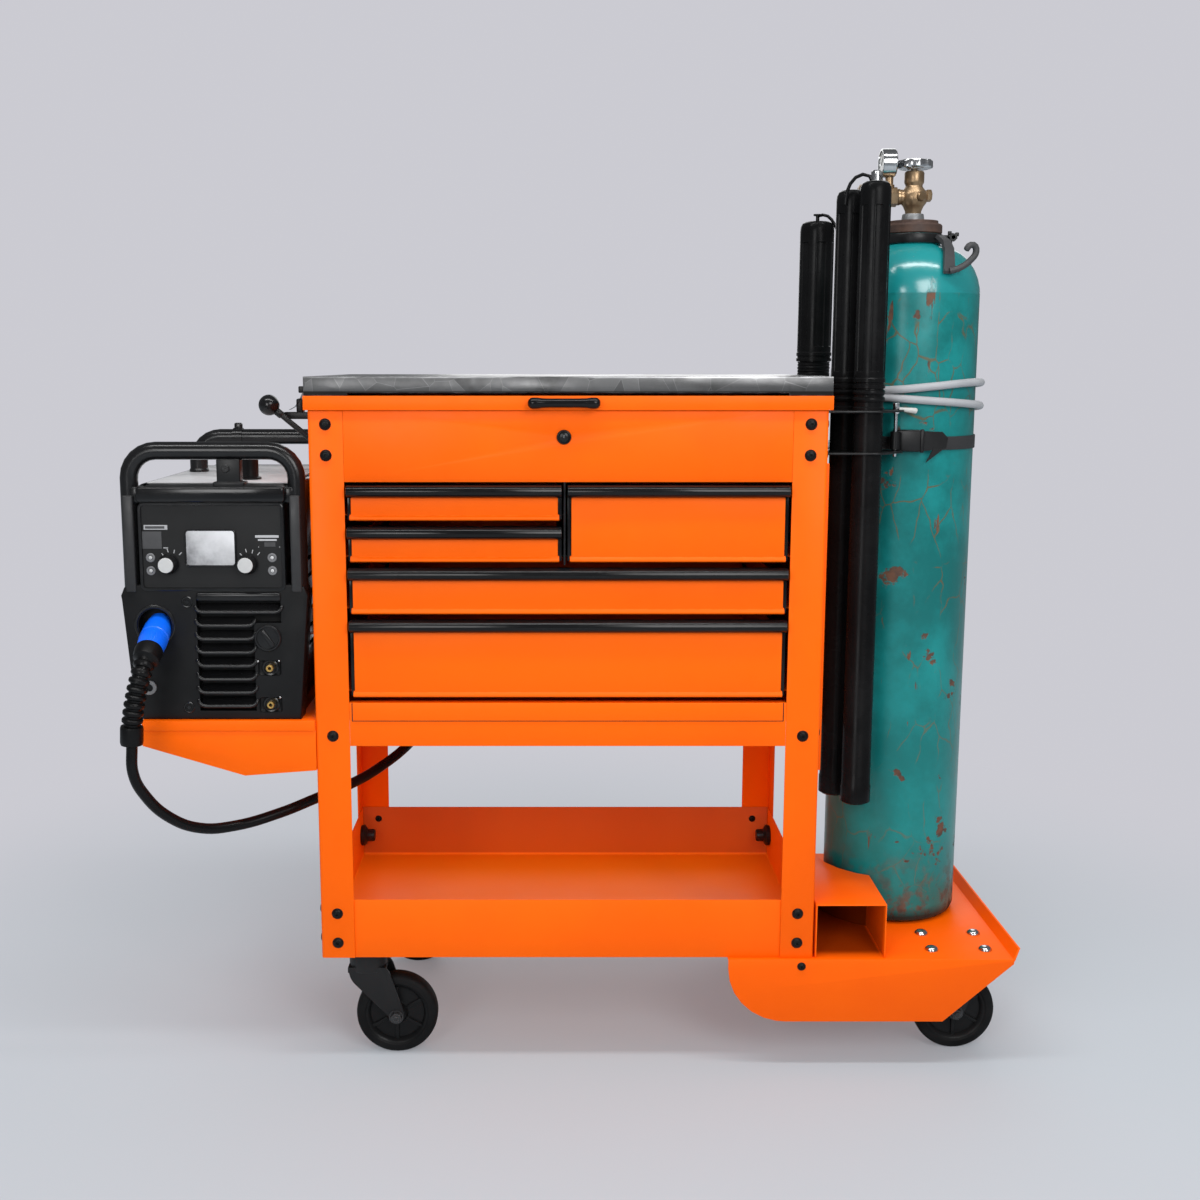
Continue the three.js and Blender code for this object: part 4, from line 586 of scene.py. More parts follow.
# Painted shade: dark along the turned-down lower edge.
painted_shade_low_edge = ramp(tree, height, BENCH_EDGE + 0.001, BENCH_EDGE - 0.001, ease="SMOOTHSTEP")
plate = mix(tree, painted_shade_low_edge, plate, (0.03, 0.027, 0.025))
rubbed = use(tree, rubbed_edges, place, Radius=0.002, Reach=0.5)
wire(tree, shader, {"Base Color": mix(tree, rubbed, plate, (0.6, 0.6, 0.61)),
                    "Roughness": ramp(tree, smudges, 0.0, 1.0, 0.26, 0.46), "Metallic": 0.85, "Anisotropic": 0.35})
bumped(tree, shader, brushed, 0.12, 0.0003)
eased("bench_top", bench_steel, 0.8)


def drawn_out(bm, outline, way):
    """A closed outline drawn out along a vector; returns the corners of its two ends."""
    ring = [bm.verts.new(point) for point in outline]
    drawn = bmesh.ops.extrude_face_region(bm, geom=[bm.faces.new(ring)])["geom"]
    moved = [v for v in drawn if isinstance(v, bmesh.types.BMVert)]
    bmesh.ops.translate(bm, verts=moved, vec=way)
    return ring, moved


def section_bar(bm, profile, start, end, rounding):
    """A closed section of (y, z) points drawn out along X, with its end edges and corners rounded."""
    ring, moved = drawn_out(bm, [(start, y, z) for y, z in profile], (end - start, 0, 0))
    round_over(bm, edges_of(ring + moved), rounding, 2)


pull_plastic = coating("drawer_pull_plastic", (0.004, 0.004, 0.0045), (0.008, 0.008, 0.0085), (0.03, 0.03, 0.03),
                       (0.13, 0.22), (900.0, 0.04), 0.3, shine=0.24)
grip_line = [Vector((-57, -15.2, 1003)), Vector((-6, -15.2, 1003.4)), Vector((45, -15.2, 1003))]
bm = bmesh.new()
swell = [(0, 2.5), (0.012, 5.0), (0.035, 7.2), (0.065, 8.0), (0.13, 7.9), (0.19, 6.9), (0.3, 6.5)]
loft(bm, grip_line, swell + [(1 - share, radius) for share, radius in reversed(swell)], 32)
for x in (-46, 34):
    spun(bm, [(0, 0), (5.5, 0), (5.5, 8), (0, 8)], (x, -13.3, 1003), BACK, 24)
piece("lid_pull_grip", bm, pull_plastic, "lid", "black_plastic", "lid_pull")

# Drawers: each a folded pan with a double-wall front, a black full-width pull along its top edge and a pair of
# bright telescopic slides that run on the ledges in the cabinet. Black bars at both ends of each front, which is
# narrower than the pull, are painted shade for the dark gaps beside the drawer.
slide_zinc = coating("slide_zinc", (0.42, 0.43, 0.44), (0.33, 0.34, 0.35), (0.6, 0.6, 0.6), (0.25, 0.4), metal=0.9,
                     stretch=(1.0, 0.05, 1.0))
DRAWERS = (("top_left_drawer", -316.7, -9.2, 836, 51), ("middle_left_drawer", -316.7, -9.2, 776, 51),
           ("right_drawer", -0.8, 316.7, 776, 111), ("wide_drawer", -316.7, 316.7, 700, 67),
           ("deep_drawer", -316.7, 316.7, 577, 114))
PULL, WALL, INSET, DEPTH, EDGE = 19, 1.2, 8, 437, 5.5
for name, left, right, low, tall in DRAWERS:
    top = low + tall - PULL
    bm = bmesh.new()
    bar(bm, (left + EDGE, 0, low + 6.4), (right - EDGE, 12, top + 1.5), 1.0)
    section_bar(bm, [(1.6, low + 8.4), (0.2, low + 7.2), (-2.2, low + 4.4), (-2.6, low + 2), (-1.4, low), (12, low),
                     (12, low + 8.4)], left + EDGE - 2, right - EDGE + 2, 0.5)
    walls = block(bm, ((left + right) / 2, (11 + DEPTH) / 2, (low + top + 2) / 2),
                  (right - left - 2 * INSET, DEPTH - 11, top - low - 4))
    faces = list({f for v in walls for f in v.link_faces})
    lid_face = max(faces, key=lambda f: f.calc_center_median().z)
    bmesh.ops.delete(bm, geom=[lid_face], context="FACES_ONLY")
    faces.remove(lid_face)
    bmesh.ops.solidify(bm, geom=faces, thickness=-WALL)
    piece(f"{name}_pan", bm, orange, name, "orange_paint", name)
    bm = bmesh.new()
    section_bar(bm, [(8, top + 0.5), (-3, top + 0.5), (-9, top + 2.5), (-12.8, top + 6), (-14, top + 10),
                     (-12.6, top + 14.5), (-9.5, top + 17.6), (-4, top + 19), (8, top + 19)], left, right, 1.1)
    # Black bars at the ends of the front: painted shade for the dark gaps at its sides.
    for x in (left, right - EDGE + 0.4):
        bar(bm, (x, 4.5, low + 1), (x + EDGE - 0.4, 12, top + 1), 0.5)
    piece(f"{name}_pull", bm, pull_plastic, name, "black_plastic")
    bm = bmesh.new()
    for x in (left + INSET - 6, right - INSET):
        bar(bm, (x, 12, low + 8), (x + 6, DEPTH, low + 18), 1.0)
    piece(f"{name}_slides", bm, slide_zinc, name, "chrome")

# Casters: pressed black forks on ball-race plates, 5-inch black wheels with moulded hubs, dark steel axle bolts and
# zinc plate bolts. The left pair swivels under the tray; the right pair is fixed under the bottle rack.
black_paint = coating("black_caster_paint", (0.006, 0.006, 0.0065), (0.012, 0.012, 0.0125), (0.12, 0.12, 0.12),
                      (0.32, 0.48), (500.0, 0.1), 0.5)
wheel_rubber = coating("wheel_rubber", (0.006, 0.006, 0.0063), (0.011, 0.011, 0.0113), (0.03, 0.029, 0.028),
                       (0.45, 0.65), (420.0, 0.15), 0.4, shine=0.1, cloud=14.0)
hub_plastic = coating("wheel_hub_plastic", (0.007, 0.007, 0.0073), (0.011, 0.011, 0.0113), (0.04, 0.04, 0.04),
                      (0.3, 0.42), (900.0, 0.06), 0.4, shine=0.15)
zinc = coating("zinc_bolt", (0.36, 0.365, 0.37), (0.26, 0.265, 0.27), (0.6, 0.6, 0.6), (0.28, 0.45), (400.0, 0.08),
               0.6, metal=0.9, cloud=30.0)
dark_steel = coating("dark_axle_steel", (0.05, 0.05, 0.052), (0.03, 0.03, 0.031), (0.2, 0.2, 0.2), (0.25, 0.4),
                     (400.0, 0.08), 0.6, metal=0.6, cloud=30.0)
SPOKES = 6


def mirrored(half):
    return half + [(radius, -height) for radius, height in reversed(half) if height]


for row, column, x, y in (("front", "left", -264, 60), ("rear", "left", -264, 406), ("front", "right", 604, 74),
                          ("rear", "right", 604, 392)):
    corner = f"{row}_{column}"
    wheel_low, wheel_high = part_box(f"{corner}_wheel")
    axle = (x, y, (wheel_low.z + wheel_high.z) * 500)
    fork_body = f"{corner}_swivel" if column == "left" else "cart"
    eased(f"{corner}_fork", black_paint, 0.8)
    bm = bmesh.new()
    spun(bm, mirrored([(47, -14), (50, -16), (56, -16), (59.5, -14.6), (62, -11.5), (62.9, -7), (63.1, 0)]), axle,
         BACK, 72, closed=True)
    piece(f"{corner}_tyre", bm, wheel_rubber, f"{corner}_wheel", "rubber", f"{corner}_wheel")
    bm = bmesh.new()
    spun(bm, mirrored([(5.3, -17), (13, -17), (14.5, -15.5), (17.5, -8), (21, -6.5), (41, -6), (44.5, -12.5),
                       (47.2, -14)]), axle, BACK, 64, closed=True)
    for spoke in range(SPOKES):
        turn = Matrix.Translation(axle) @ Matrix.Rotation(2 * math.pi * spoke / SPOKES, 4, "Y")
        round_over(bm, edges_of(block(bm, turn @ Matrix.Translation((0, 0, 30)), (5, 20, 27))), 1.2, 2, clamp=False)
    piece(f"{corner}_hub", bm, hub_plastic, f"{corner}_wheel", "black_plastic")
    bm = bmesh.new()
    for way in (FORWARD, BACK):
        spun(bm, [(0, 23.6), (11, 23.6), (11, 25.2), (0, 25.2)], axle, way, 28)
        spun(bm, [(0, 25), (9, 25), (9, 30.6), (7.8, 31.6), (0, 31.6)], axle, way, 6)
        spun(bm, [(0, 31), (4.6, 31), (4.6, 33), (4, 33.8), (0, 33.8)], axle, way, 20)
    piece(f"{corner}_axle_bolt", bm, dark_steel, fork_body, "chrome")
    plate_x = -308 if column == "left" else x
    plate_low = 169.7 if column == "left" else 166.4
    if column == "left":
        eased(f"{corner}_caster_plate", black_paint, 0.8)
    bm = bmesh.new()
    for dx in (-38, 38):
        for dy in (-32, 32):
            spun(bm, [(0, -4.6), (6.4, -4.6), (7.5, -3.8), (7.5, 0.2), (0, 0.2)], (plate_x + dx, y + dy, plate_low),
                 UP, 6)
    piece(f"{corner}_plate_bolts", bm, zinc, "cart", "chrome")

# Bottle rack: folded base with a round and a chamfered corner on its skirts and a leaning flange, an open box
# beside the bottle; four bright domed bolts hold the fixed casters through the deck. The deck under the box and the
# box's inside have darker tones of the coat: painted shade inside the open box.
low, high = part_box("rack_box")
tree, axes, lay = repainted("rack_deck_coat_painted_shade")
# Painted shade: darker orange on the deck within the box's footprint.
painted_shade_under_box = all_of(tree, ramp(tree, axes["X"], low.x + 0.001, low.x + 0.006),
                   ramp(tree, axes["X"], high.x - 0.001, high.x - 0.006),
                   ramp(tree, axes["Y"], low.y - 0.002, low.y + 0.03), ramp(tree, axes["Y"], high.y, high.y - 0.01))
eased("rack_base", lay(painted_shade_under_box, (0.3, 0.037, 0.0006)), 0.7)
tree, axes, lay = repainted("rack_box_coat_painted_shade")
# Painted shade: darker orange on the box's inner faces below the rim, behind the front wall.
inside = all_of(tree, ramp(tree, axes["X"], low.x + 0.001, low.x + 0.003),
                ramp(tree, axes["X"], high.x - 0.0012, high.x - 0.003),
                ramp(tree, axes["Z"], high.z - 0.0012, high.z - 0.003),
                ramp(tree, axes["Y"], low.y + 0.002, low.y + 0.016))
eased("rack_box", lay(inside, (0.16, 0.02, 0.0005)), 0.5)
bm = bmesh.new()
for x in (557, 639):
    for y in (32, 96):
        spun(bm, [(0, 6.6), (4.0, 6.3), (7.3, 5.0), (9.5, 2.8), (10.3, 0.9), (10.3, -0.6), (0, -0.6)],
             (x, y, 173.7), UP, 28)
piece("rack_deck_bolts", bm, chrome, "cart", "chrome")

# Gas bottle: a drawn steel bottle in old teal paint, chipped to brown rust, with a brighter shoulder above a
# painted line; the peened neck ring is bare brown iron. Painted light brightens the lower part of the body, painted
# shade darkens its right side, and a painted contact shadow darkens its foot.
SHOULDER_LINE = 1.1625
teal, tree, shader, place = blank("old_teal_paint_painted_light_and_shade")
axes = put(tree, "ShaderNodeSeparateXYZ", {0: place}).outputs
drips = put(tree, "ShaderNodeVectorMath", {0: place, 1: (1.0, 1.0, 0.22)}, operation="MULTIPLY").outputs[0]
worn_low = mix(tree, patches(tree, place, 8.0, 0.34, 0.62), (0.009, 0.235, 0.232), (0.004, 0.135, 0.131))
pale_streak = patches(tree, drips, 30.0, 0.58, 0.75)
worn_low = mix(tree, maths(tree, "MULTIPLY", pale_streak, 0.3), worn_low, (0.03, 0.28, 0.275))
warp = put(tree, "ShaderNodeTexNoise", {"Vector": place, "Scale": 9.0, "Detail": 3.0}).outputs["Color"]
upright = put(tree, "ShaderNodeVectorMath", {0: place, 1: (1.0, 1.0, 0.5)}, operation="MULTIPLY").outputs[0]
bent = put(tree, "ShaderNodeVectorMath", {0: warp, 1: (0.06, 0.06, 0.06), 2: upright},
           operation="MULTIPLY_ADD").outputs[0]
cells = put(tree, "ShaderNodeTexVoronoi", {"Vector": bent, "Scale": 27.0},
            feature="DISTANCE_TO_EDGE").outputs["Distance"]
crack = ramp(tree, cells, 0.026, 0.01)
broken = patches(tree, place, 13.0, 0.44, 0.54)
veins = maths(tree, "MULTIPLY", crack, broken)
worn_low = mix(tree, maths(tree, "MULTIPLY", veins, 0.75), worn_low, (0.13, 0.085, 0.03))
shoulder = ramp(tree, axes["Z"], SHOULDER_LINE - 0.001, SHOULDER_LINE + 0.001)
skin = mix(tree, shoulder, worn_low, (0.008, 0.235, 0.24))
chips = patches(tree, place, 15.0, 0.635, 0.66)
runs = patches(tree, drips, 38.0, 0.655, 0.68)
foot = ramp(tree, axes["Z"], 0.30, 0.18)
foot_rust = maths(tree, "MULTIPLY", foot, patches(tree, place, 34.0, 0.45, 0.6))
rust = maths(tree, "MAXIMUM", chips, runs)
rust = maths(tree, "MAXIMUM", rust, foot_rust)
below = ramp(tree, shoulder, 0.0, 1.0, least=1.0, most=0.25)
rust = maths(tree, "MULTIPLY", rust, below)
rust_tone = mix(tree, patches(tree, place, 55.0, 0.35, 0.65), (0.16, 0.075, 0.045), (0.085, 0.05, 0.038))
# Painted light: a lighter teal on the lower part of the body.
painted_light_low = ramp(tree, axes["Z"], 0.7, 0.3, most=0.35)
skin = mix(tree, painted_light_low, skin, (0.012, 0.30, 0.29))
# Painted shade: darker towards the bottle's right side.
sides = ramp(tree, axes["X"], 0.555, 0.625, most=0.45)
skin = mix(tree, sides, skin, (0.004, 0.09, 0.088))
# Painted contact shadow: near black at the very foot.
painted_contact_shadow = ramp(tree, axes["Z"], 0.202, 0.186, most=0.92)
gloss = ramp(tree, shoulder, 0.0, 1.0, 0.3, 0.2)
wire(tree, shader, {
    "Base Color": mix(tree, painted_contact_shadow, mix(tree, rust, skin, rust_tone), (0.004, 0.015, 0.015)),
    "Specular IOR Level": ramp(tree, shoulder, 0.0, 1.0, 0.3, 0.9),
    "Roughness": maths(tree, "ADD", gloss, maths(tree, "MULTIPLY", rust, 0.4))})
dents = use(tree, grain, place, Scale=10.0)
bumped(tree, shader, maths(tree, "ADD", dents, maths(tree, "MULTIPLY", rust, -0.25)), 0.5, 0.0032)
bm = bmesh.new()
spun(bm, [(0, 174), (88, 174), (96, 175.5), (102, 180), (105, 188), (105, 1164), (104.3, 1173), (101.3, 1186),
          (96, 1199), (88.5, 1211), (78, 1221.5), (66, 1229.5), (53, 1235), (44, 1237.8), (41, 1240), (41, 1256),
          (0, 1256)], BOTTLE, steps=112)
piece("gas_bottle_body", bm, teal, "cart", "teal_paint", "gas_bottle", crease=30)
ring_iron = coating("neck_ring_iron", (0.055, 0.034, 0.028), (0.09, 0.05, 0.036), (0.2, 0.12, 0.09), (0.45, 0.65),
                    (260.0, 0.3), 0.7, cloud=40.0)
bm = bmesh.new()
spun(bm, [(12, 1255), (43.5, 1255), (45, 1256.5), (45, 1267), (43, 1269.5), (39, 1270.5), (38.4, 1274.6), (12, 1275)],
     BOTTLE, steps=64, closed=True)
piece("gas_bottle_neck_ring", bm, ring_iron, "cart", "teal_paint")

# Neck clamp: a black steel band under the ring, drawn tight by a bolt with a wing nut, and a grey plate down the
# shoulder that carries a bent rod hook.
grey_steel = coating("grey_hook_steel", (0.055, 0.055, 0.057), (0.035, 0.035, 0.037), (0.15, 0.15, 0.15), (0.4, 0.55),
                     (420.0, 0.12), 0.5)
bm = bmesh.new()
spun(bm, [(41.2, 1240.4), (45.4, 1240.4), (45.9, 1241.4), (45.9, 1253), (45.4, 1254), (41.2, 1254)], BOTTLE, steps=64,
     closed=True)
bar(bm, (576, 230, 1246), (601, 233.6, 1254), 0.8)
bar(bm, (576, 238.4, 1246), (601, 242, 1254), 0.8)
CLAMP_BOLT = (594, 236, 1250)
spun(bm, [(0, -16), (3, -16), (3, 13), (0, 13)], CLAMP_BOLT, BACK, 16)
spun(bm, [(0, -16), (6.5, -16), (6.5, -10), (0, -10)], CLAMP_BOLT, BACK, 6)
for turn in (0.6, 2.2, 4.3):
    x, z = CLAMP_BOLT[0] + 8 * math.cos(turn), CLAMP_BOLT[2] + 8 * math.sin(turn)
    bar(bm, (x - 3, 224, z - 3), (x + 3, 227, z + 3), 1.2)
spun(bm, [(0, 6), (6, 6), (6, 12), (0, 12)], CLAMP_BOLT, BACK, 16)
piece("neck_clamp_band", bm, black_paint, "cart", "black_paint", "neck_clamp")
HANGER_TURN = Matrix.Translation(BOTTLE) @ Matrix.Rotation(math.radians(-72), 4, "Z")
bm = bmesh.new()
strip = []
for reach, height, turn in ((44, 1246, 26), (62, 1237, 18), (80, 1223, 9), (93, 1208, 3), (103, 1188.5, 0)):
    lie = Matrix.Rotation(math.radians(turn), 4, "Z")
    strip.append([bm.verts.new(lie @ Vector((reach + out, side, height + out))) for out, side in
                  ((1.6, -9), (1.6, 9), (5.6, 9), (5.6, -9))])
for a, b in zip(strip, strip[1:]):
    for k in range(4):
        bm.faces.new((a[k], a[(k + 1) % 4], b[(k + 1) % 4], b[k]))
bm.faces.new(strip[0])
bm.faces.new(strip[-1])
bm.transform(HANGER_TURN)
hook_line = path_through([(107, 0, 1194), (111, 14, 1198), (116, 30, 1210), (118, 37, 1222), (118, 33, 1231),
                          (117, 25, 1230), (116, 21, 1223)])
loft(bm, [HANGER_TURN @ p for p in hook_line], [(k / 20, 4.8) for k in range(20)] + [(0.99, 4), (1.0, 2)], 20)
piece("neck_clamp_hook", bm, grey_steel, "cart", "black_paint")

# Cylinder valve and regulator: machined brass on a grey collar, bright handwheel with lobes, chrome-rimmed gauge with
# a white dial, chrome flow tube, and the hose nipple on its arm.
brass = coating("dull_brass", (0.37, 0.255, 0.15), (0.26, 0.175, 0.10), (0.55, 0.42, 0.28), (0.3, 0.48),
                (300.0, 0.08), 0.5, metal=0.85, cloud=24.0)
collar_grey = coating("collar_grey", (0.26, 0.265, 0.27), (0.18, 0.185, 0.19), (0.45, 0.45, 0.45),
                      (0.35, 0.5), metal=0.6)
OUTLET_Z = 1311.3
OUTLET, INLET_NUT, GAUGE = (*BOTTLE[:2], OUTLET_Z), (507.7, 236, OUTLET_Z), (495.7, 236, OUTLET_Z + 50)
bm = bmesh.new()
spun(bm, [(0, 1275.3), (17, 1275.3), (17.4, 1276), (16.4, 1284.5), (15.6, 1285.6), (0, 1285.6)], BOTTLE, steps=40)
piece("cylinder_valve_collar", bm, collar_grey, "cart", "brass")
bm = bmesh.new()
spun(bm, [(0, 1285), (12, 1285), (12.4, 1290), (15.5, 1297), (19.4, 1302), (20.4, 1307), (20.4, 1314), (18, 1320),
          (14, 1325), (12.8, 1327.6), (13.4, 1330), (14.6, 1331.6), (15, 1333.4), (15, 1346.4), (14.2, 1348.6),
          (12.6, 1349.8), (6, 1350.2), (6, 1351.2), (0, 1351.2)], BOTTLE, steps=44)
spun(bm, [(0, 0), (11.4, 0), (11.4, 21), (12.4, 22), (12.4, 25.4), (11.4, 26), (0, 26)], OUTLET, LEFT, 32)
spun(bm, [(0, 0), (8.4, 0), (8.4, 19), (9.4, 20), (9.4, 25.6), (8.4, 27), (0, 27)],
     (*BOTTLE[:2], OUTLET_Z + 2), RIGHT, 6)
spun(bm, [(0, 0), (7.5, 0), (7.5, 22), (6, 24), (0, 24)], (*BOTTLE[:2], OUTLET_Z - 1), (0.35, -0.94, 0), 24)
piece("cylinder_valve_body", bm, brass, "cart", "brass", "cylinder_valve")
bm = bmesh.new()
spun(bm, [(0, 1351.6), (11, 1351.6), (12, 1352.4), (13, 1354), (22, 1352.8), (25.4, 1353.6), (26.6, 1355.4),
          (26.6, 1363.4), (25.6, 1365.4), (22, 1366), (20.5, 1362), (13, 1361.4), (11, 1367.8), (9.5, 1368.6),
          (0, 1368.6)], BOTTLE, steps=96)
for vert in bm.verts:
    away = Vector((vert.co.x - BOTTLE[0], vert.co.y - BOTTLE[1]))
    if away.length > 21:
        turn = math.atan2(away.y, away.x)
        push = 1 + 0.055 * math.cos(8 * turn) * (away.length - 21) / 6
        vert.co.x = BOTTLE[0] + away.x * push
        vert.co.y = BOTTLE[1] + away.y * push
piece("valve_handwheel_rim", bm, chrome, "valve_handwheel", "chrome", "valve_handwheel")
bm = bmesh.new()
spun(bm, [(0, 0.0), (14.6, 0.0), (15, 1), (15, 19), (14.4, 20), (0, 20)], INLET_NUT, LEFT, 6)
spun(bm, [(0, 18), (17, 18), (19.4, 20), (20, 23), (20, 52), (18.6, 57), (14, 60), (0, 60)], INLET_NUT, LEFT, 44)
spun(bm, [(0, 0), (6.4, 0), (6.4, 12), (8, 13), (8, 18), (6, 19), (6, 36), (0, 36)], (495.7, 236, OUTLET_Z), UP, 28)
spun(bm, [(0, 0), (8.6, 0), (8.6, 44), (9.4, 45), (9.4, 56), (8.4, 62), (0, 62)], (461.7, 236, OUTLET_Z), BACK, 28)
spun(bm, [(0, 0), (6, 0), (6, -10), (4.4, -12), (5.2, -14), (4.4, -17), (5.2, -19), (4.4, -22), (5, -24), (4, -26),
          (0, -26)], (461.7, 290, OUTLET_Z), UP, 24)
piece("regulator_body", bm, brass, "cart", "brass", "regulator")
bm = bmesh.new()
spun(bm, [(0, -8), (20, -8), (22, -6), (22, 13), (20.8, 14), (19, 14), (18.6, 12), (0, 12)], GAUGE, LEFT, 56)
spun(bm, [(0, 0), (10, 0), (10, 26), (8.6, 32), (8.6, 38), (6, 40), (0, 40)], (475.7, 236, OUTLET_Z), UP, 32)
piece("regulator_gauge_case", bm, chrome, "cart", "chrome")
dial_white = coating("gauge_dial", (0.72, 0.72, 0.7), (0.64, 0.64, 0.62), (0.8, 0.8, 0.8), (0.3, 0.4))
piece("regulator_gauge_dial", spun(bmesh.new(), [(0, 11.6), (18.4, 11.6), (18.4, 12.4), (0, 12.4)], GAUGE, LEFT, 48),
      dial_white, "cart", "white_plastic")
bm = bmesh.new()
TICKS = 11
for tick in range(TICKS):
    turn = Matrix.Rotation(math.radians(-135 + 270 * tick / (TICKS - 1)), 4, "X")
    block(bm, Matrix.Translation((483.0, *GAUGE[1:])) @ turn @ Matrix.Translation((0, 0, 15)), (0.6, 0.9, 4))
needle = Matrix.Translation((482.8, *GAUGE[1:])) @ Matrix.Rotation(math.radians(40), 4, "X")
block(bm, needle @ Matrix.Translation((0, 0, 5)), (0.6, 1.1, 17))
piece("regulator_gauge_marks", bm, black_plastic, "cart", "black_plastic")

# Rod tubes: three black plastic tubes with a collar each, held in the bracket on the cart's side, and long fluted
# caps pushed over them; short moulded leashes on the caps.
tube_plastic = coating("rod_tube_plastic", (0.005, 0.005, 0.0053), (0.009, 0.009, 0.0093), (0.03, 0.03, 0.03),
                       (0.22, 0.34), (900.0, 0.05), 0.3, shine=0.08, cloud=9.0)
TUBES = ((443, 85, 19.5, 1022, 1317), (419, 135, 19.5, 1022, 1310), (416, 400, 25, 1062, 1290))
for number, (x, y, radius, cap_low, cap_top) in enumerate(TUBES, 1):
    bm = bmesh.new()
    collar = radius + 3.5
    ring = collar + 1.1 if number < 3 else collar - 1.6
    spun(bm, [(0, 392), (radius - 1, 392), (radius, 393), (radius + 3.4, 395), (radius + 3.4, 420),
              (radius + 2.4, 422), (radius + 2.4, 989), (radius + 2.4, 990.3), (collar, 990.3), (collar, 994),
              (collar - 1.6, 995.4), (collar - 1.6, cap_low - 20), (ring - 0.8, cap_low - 18.6), (ring, cap_low - 16),
              (ring - 0.8, cap_low - 13.4), (collar - 1.6, cap_low - 12), (collar - 1.6, cap_low - 9.6),
              (ring - 0.8, cap_low - 8.2), (ring, cap_low - 5.6), (ring - 0.8, cap_low - 3),
              (collar - 1.6, cap_low - 1.6), (collar - 1.8, cap_low - 0.3), (radius - 2, cap_low - 0.3),
              (radius - 2, cap_low + 95), (radius - 4, cap_low + 95), (radius - 4, 396), (0, 396)],
         (x, y, 0), steps=48)
    piece(f"rod_tube_{number}_body", bm, tube_plastic, "cart", "black_plastic", f"rod_tube_{number}")
    bm = bmesh.new()
    outer = radius + 3
    inner = radius - 1.7
    profile = [(inner, cap_low), (outer + 0.6, cap_low), (outer + 1, cap_low + 0.6), (outer + 1, cap_low + 5),
               (outer - 0.6, cap_low + 6), (outer - 0.6, cap_low + 8.4), (outer + 1, cap_low + 9.4),
               (outer + 1, cap_low + 14), (outer - 0.2, cap_low + 15.6), (outer, cap_low + 18)]
    flute_low, flute_high = cap_low + 24, cap_top - 34
    rings = [0, 1.2, 2.4] + [2.4 + (flute_high - flute_low - 4.8) * k / 12 for k in range(1, 13)]
    profile += [(outer, flute_low + rise) for rise in rings + [flute_high - flute_low - 1.2, flute_high - flute_low]]
    profile += [(outer, cap_top - 16), (outer - 0.6, cap_top - 9), (outer - 3, cap_top - 3.6),
                (outer - 6.5, cap_top - 1), (outer - 11, cap_top), (0, cap_top), (0, cap_top - 3),
                (inner, cap_top - 5)]
    spun(bm, profile, (x, y, 0), steps=120, closed=True)
    for vert in bm.verts:
        away = Vector((vert.co.x - x, vert.co.y - y))
        if away.length > outer - 0.3 and flute_low + 1 < vert.co.z < flute_high - 1:
            share = math.cos(6 * (math.atan2(away.y, away.x) + 1.45))
            depth = 1.7 * min(max((share + 0.15) / 0.25, 0.0), 1.0)
            vert.co.x -= away.x / away.length * depth
            vert.co.y -= away.y / away.length * depth
    piece(f"tube_cap_{number}_shell", bm, tube_plastic, f"tube_cap_{number}", "black_plastic",
          f"tube_cap_{number}", crease=28)
    if number == 2:
        continue
    bm = bmesh.new()
    if number == 3:
        spun(bm, [(0, 0), (3, 0), (3, 9), (7, 10), (7, 12.5), (0, 13)], (x, y, cap_top - 0.5), steps=20)
        leash = [(x, y, cap_top + 9), (x + 12, y - 6, cap_top + 10), (x + 26, y - 14, cap_top - 6),
                 (x + 33, y - 20, cap_top - 26)]
    else:
        leash = [(x - 4, y + 4, cap_top - 2), (x - 9, y + 9, cap_top + 9), (x - 21, y + 17, cap_top + 10),
                 (x - 32, y + 22, cap_top), (x - 37.5, y + 26, cap_top - 18), (x - 38.5, y + 26, cap_top - 30)]
    loft(bm, path_through(leash), [(0, 2.4)] + [(0.15 * k, 2.6) for k in range(1, 7)] + [(1.0, 2.2)], 14)
    piece(f"tube_cap_{number}_leash", bm, black_rubber, f"tube_cap_{number}", "rubber")

# Tube bracket: two black plates on a flange bolted to the cart's side; a webbing strap with a block buckle goes
# round the bottle and is held by a bright drop pin with a pale lever.
eased("tube_bracket", black_paint, 0.6)
webbing, tree, shader, place = blank("black_webbing")
axes = put(tree, "ShaderNodeSeparateXYZ", {0: place}).outputs
around = maths(tree, "MULTIPLY", maths(tree, "ADD", axes["Y"], axes["X"]), 1400.0)
across = maths(tree, "MULTIPLY", axes["Z"], 2200.0)
weave = maths(tree, "MULTIPLY", maths(tree, "SINE", around), maths(tree, "SINE", across))
thread = ramp(tree, weave, -1.0, 1.0)
wire(tree, shader, {"Base Color": mix(tree, thread, (0.012, 0.012, 0.013), (0.035, 0.035, 0.037)), "Roughness": 0.75})
bumped(tree, shader, thread, 0.5, 0.0005)
STRAP_LOW, STRAP_HIGH = 929, 949
bm = bmesh.new()
spun(bm, [(105.4, STRAP_LOW), (107.2, STRAP_LOW), (107.5, STRAP_LOW + 1), (107.5, STRAP_HIGH - 1),
          (107.2, STRAP_HIGH), (105.4, STRAP_HIGH)], BOTTLE, steps=112, closed=True)
piece("bottle_strap_band", bm, webbing, "cart", "webbing", "bottle_strap")
PIN = (492, 118, 0)
pin_turn = math.atan2(PIN[1] - BOTTLE[1], PIN[0] - BOTTLE[0])
facing = Matrix.Translation(BOTTLE) @ Matrix.Rotation(pin_turn, 4, "Z")
bm = bmesh.new()
bar(bm, (106.5, -6, 927), (116, 40, 960), 2.4)
bar(bm, (114, 36, 926), (118, 41.5, 961), 1.5)
fold = ((108.6, 38, 958), (100.4, 66, 957), (96.4, 74, 948), (97.4, 72, 932), (108.6, 38, 928))
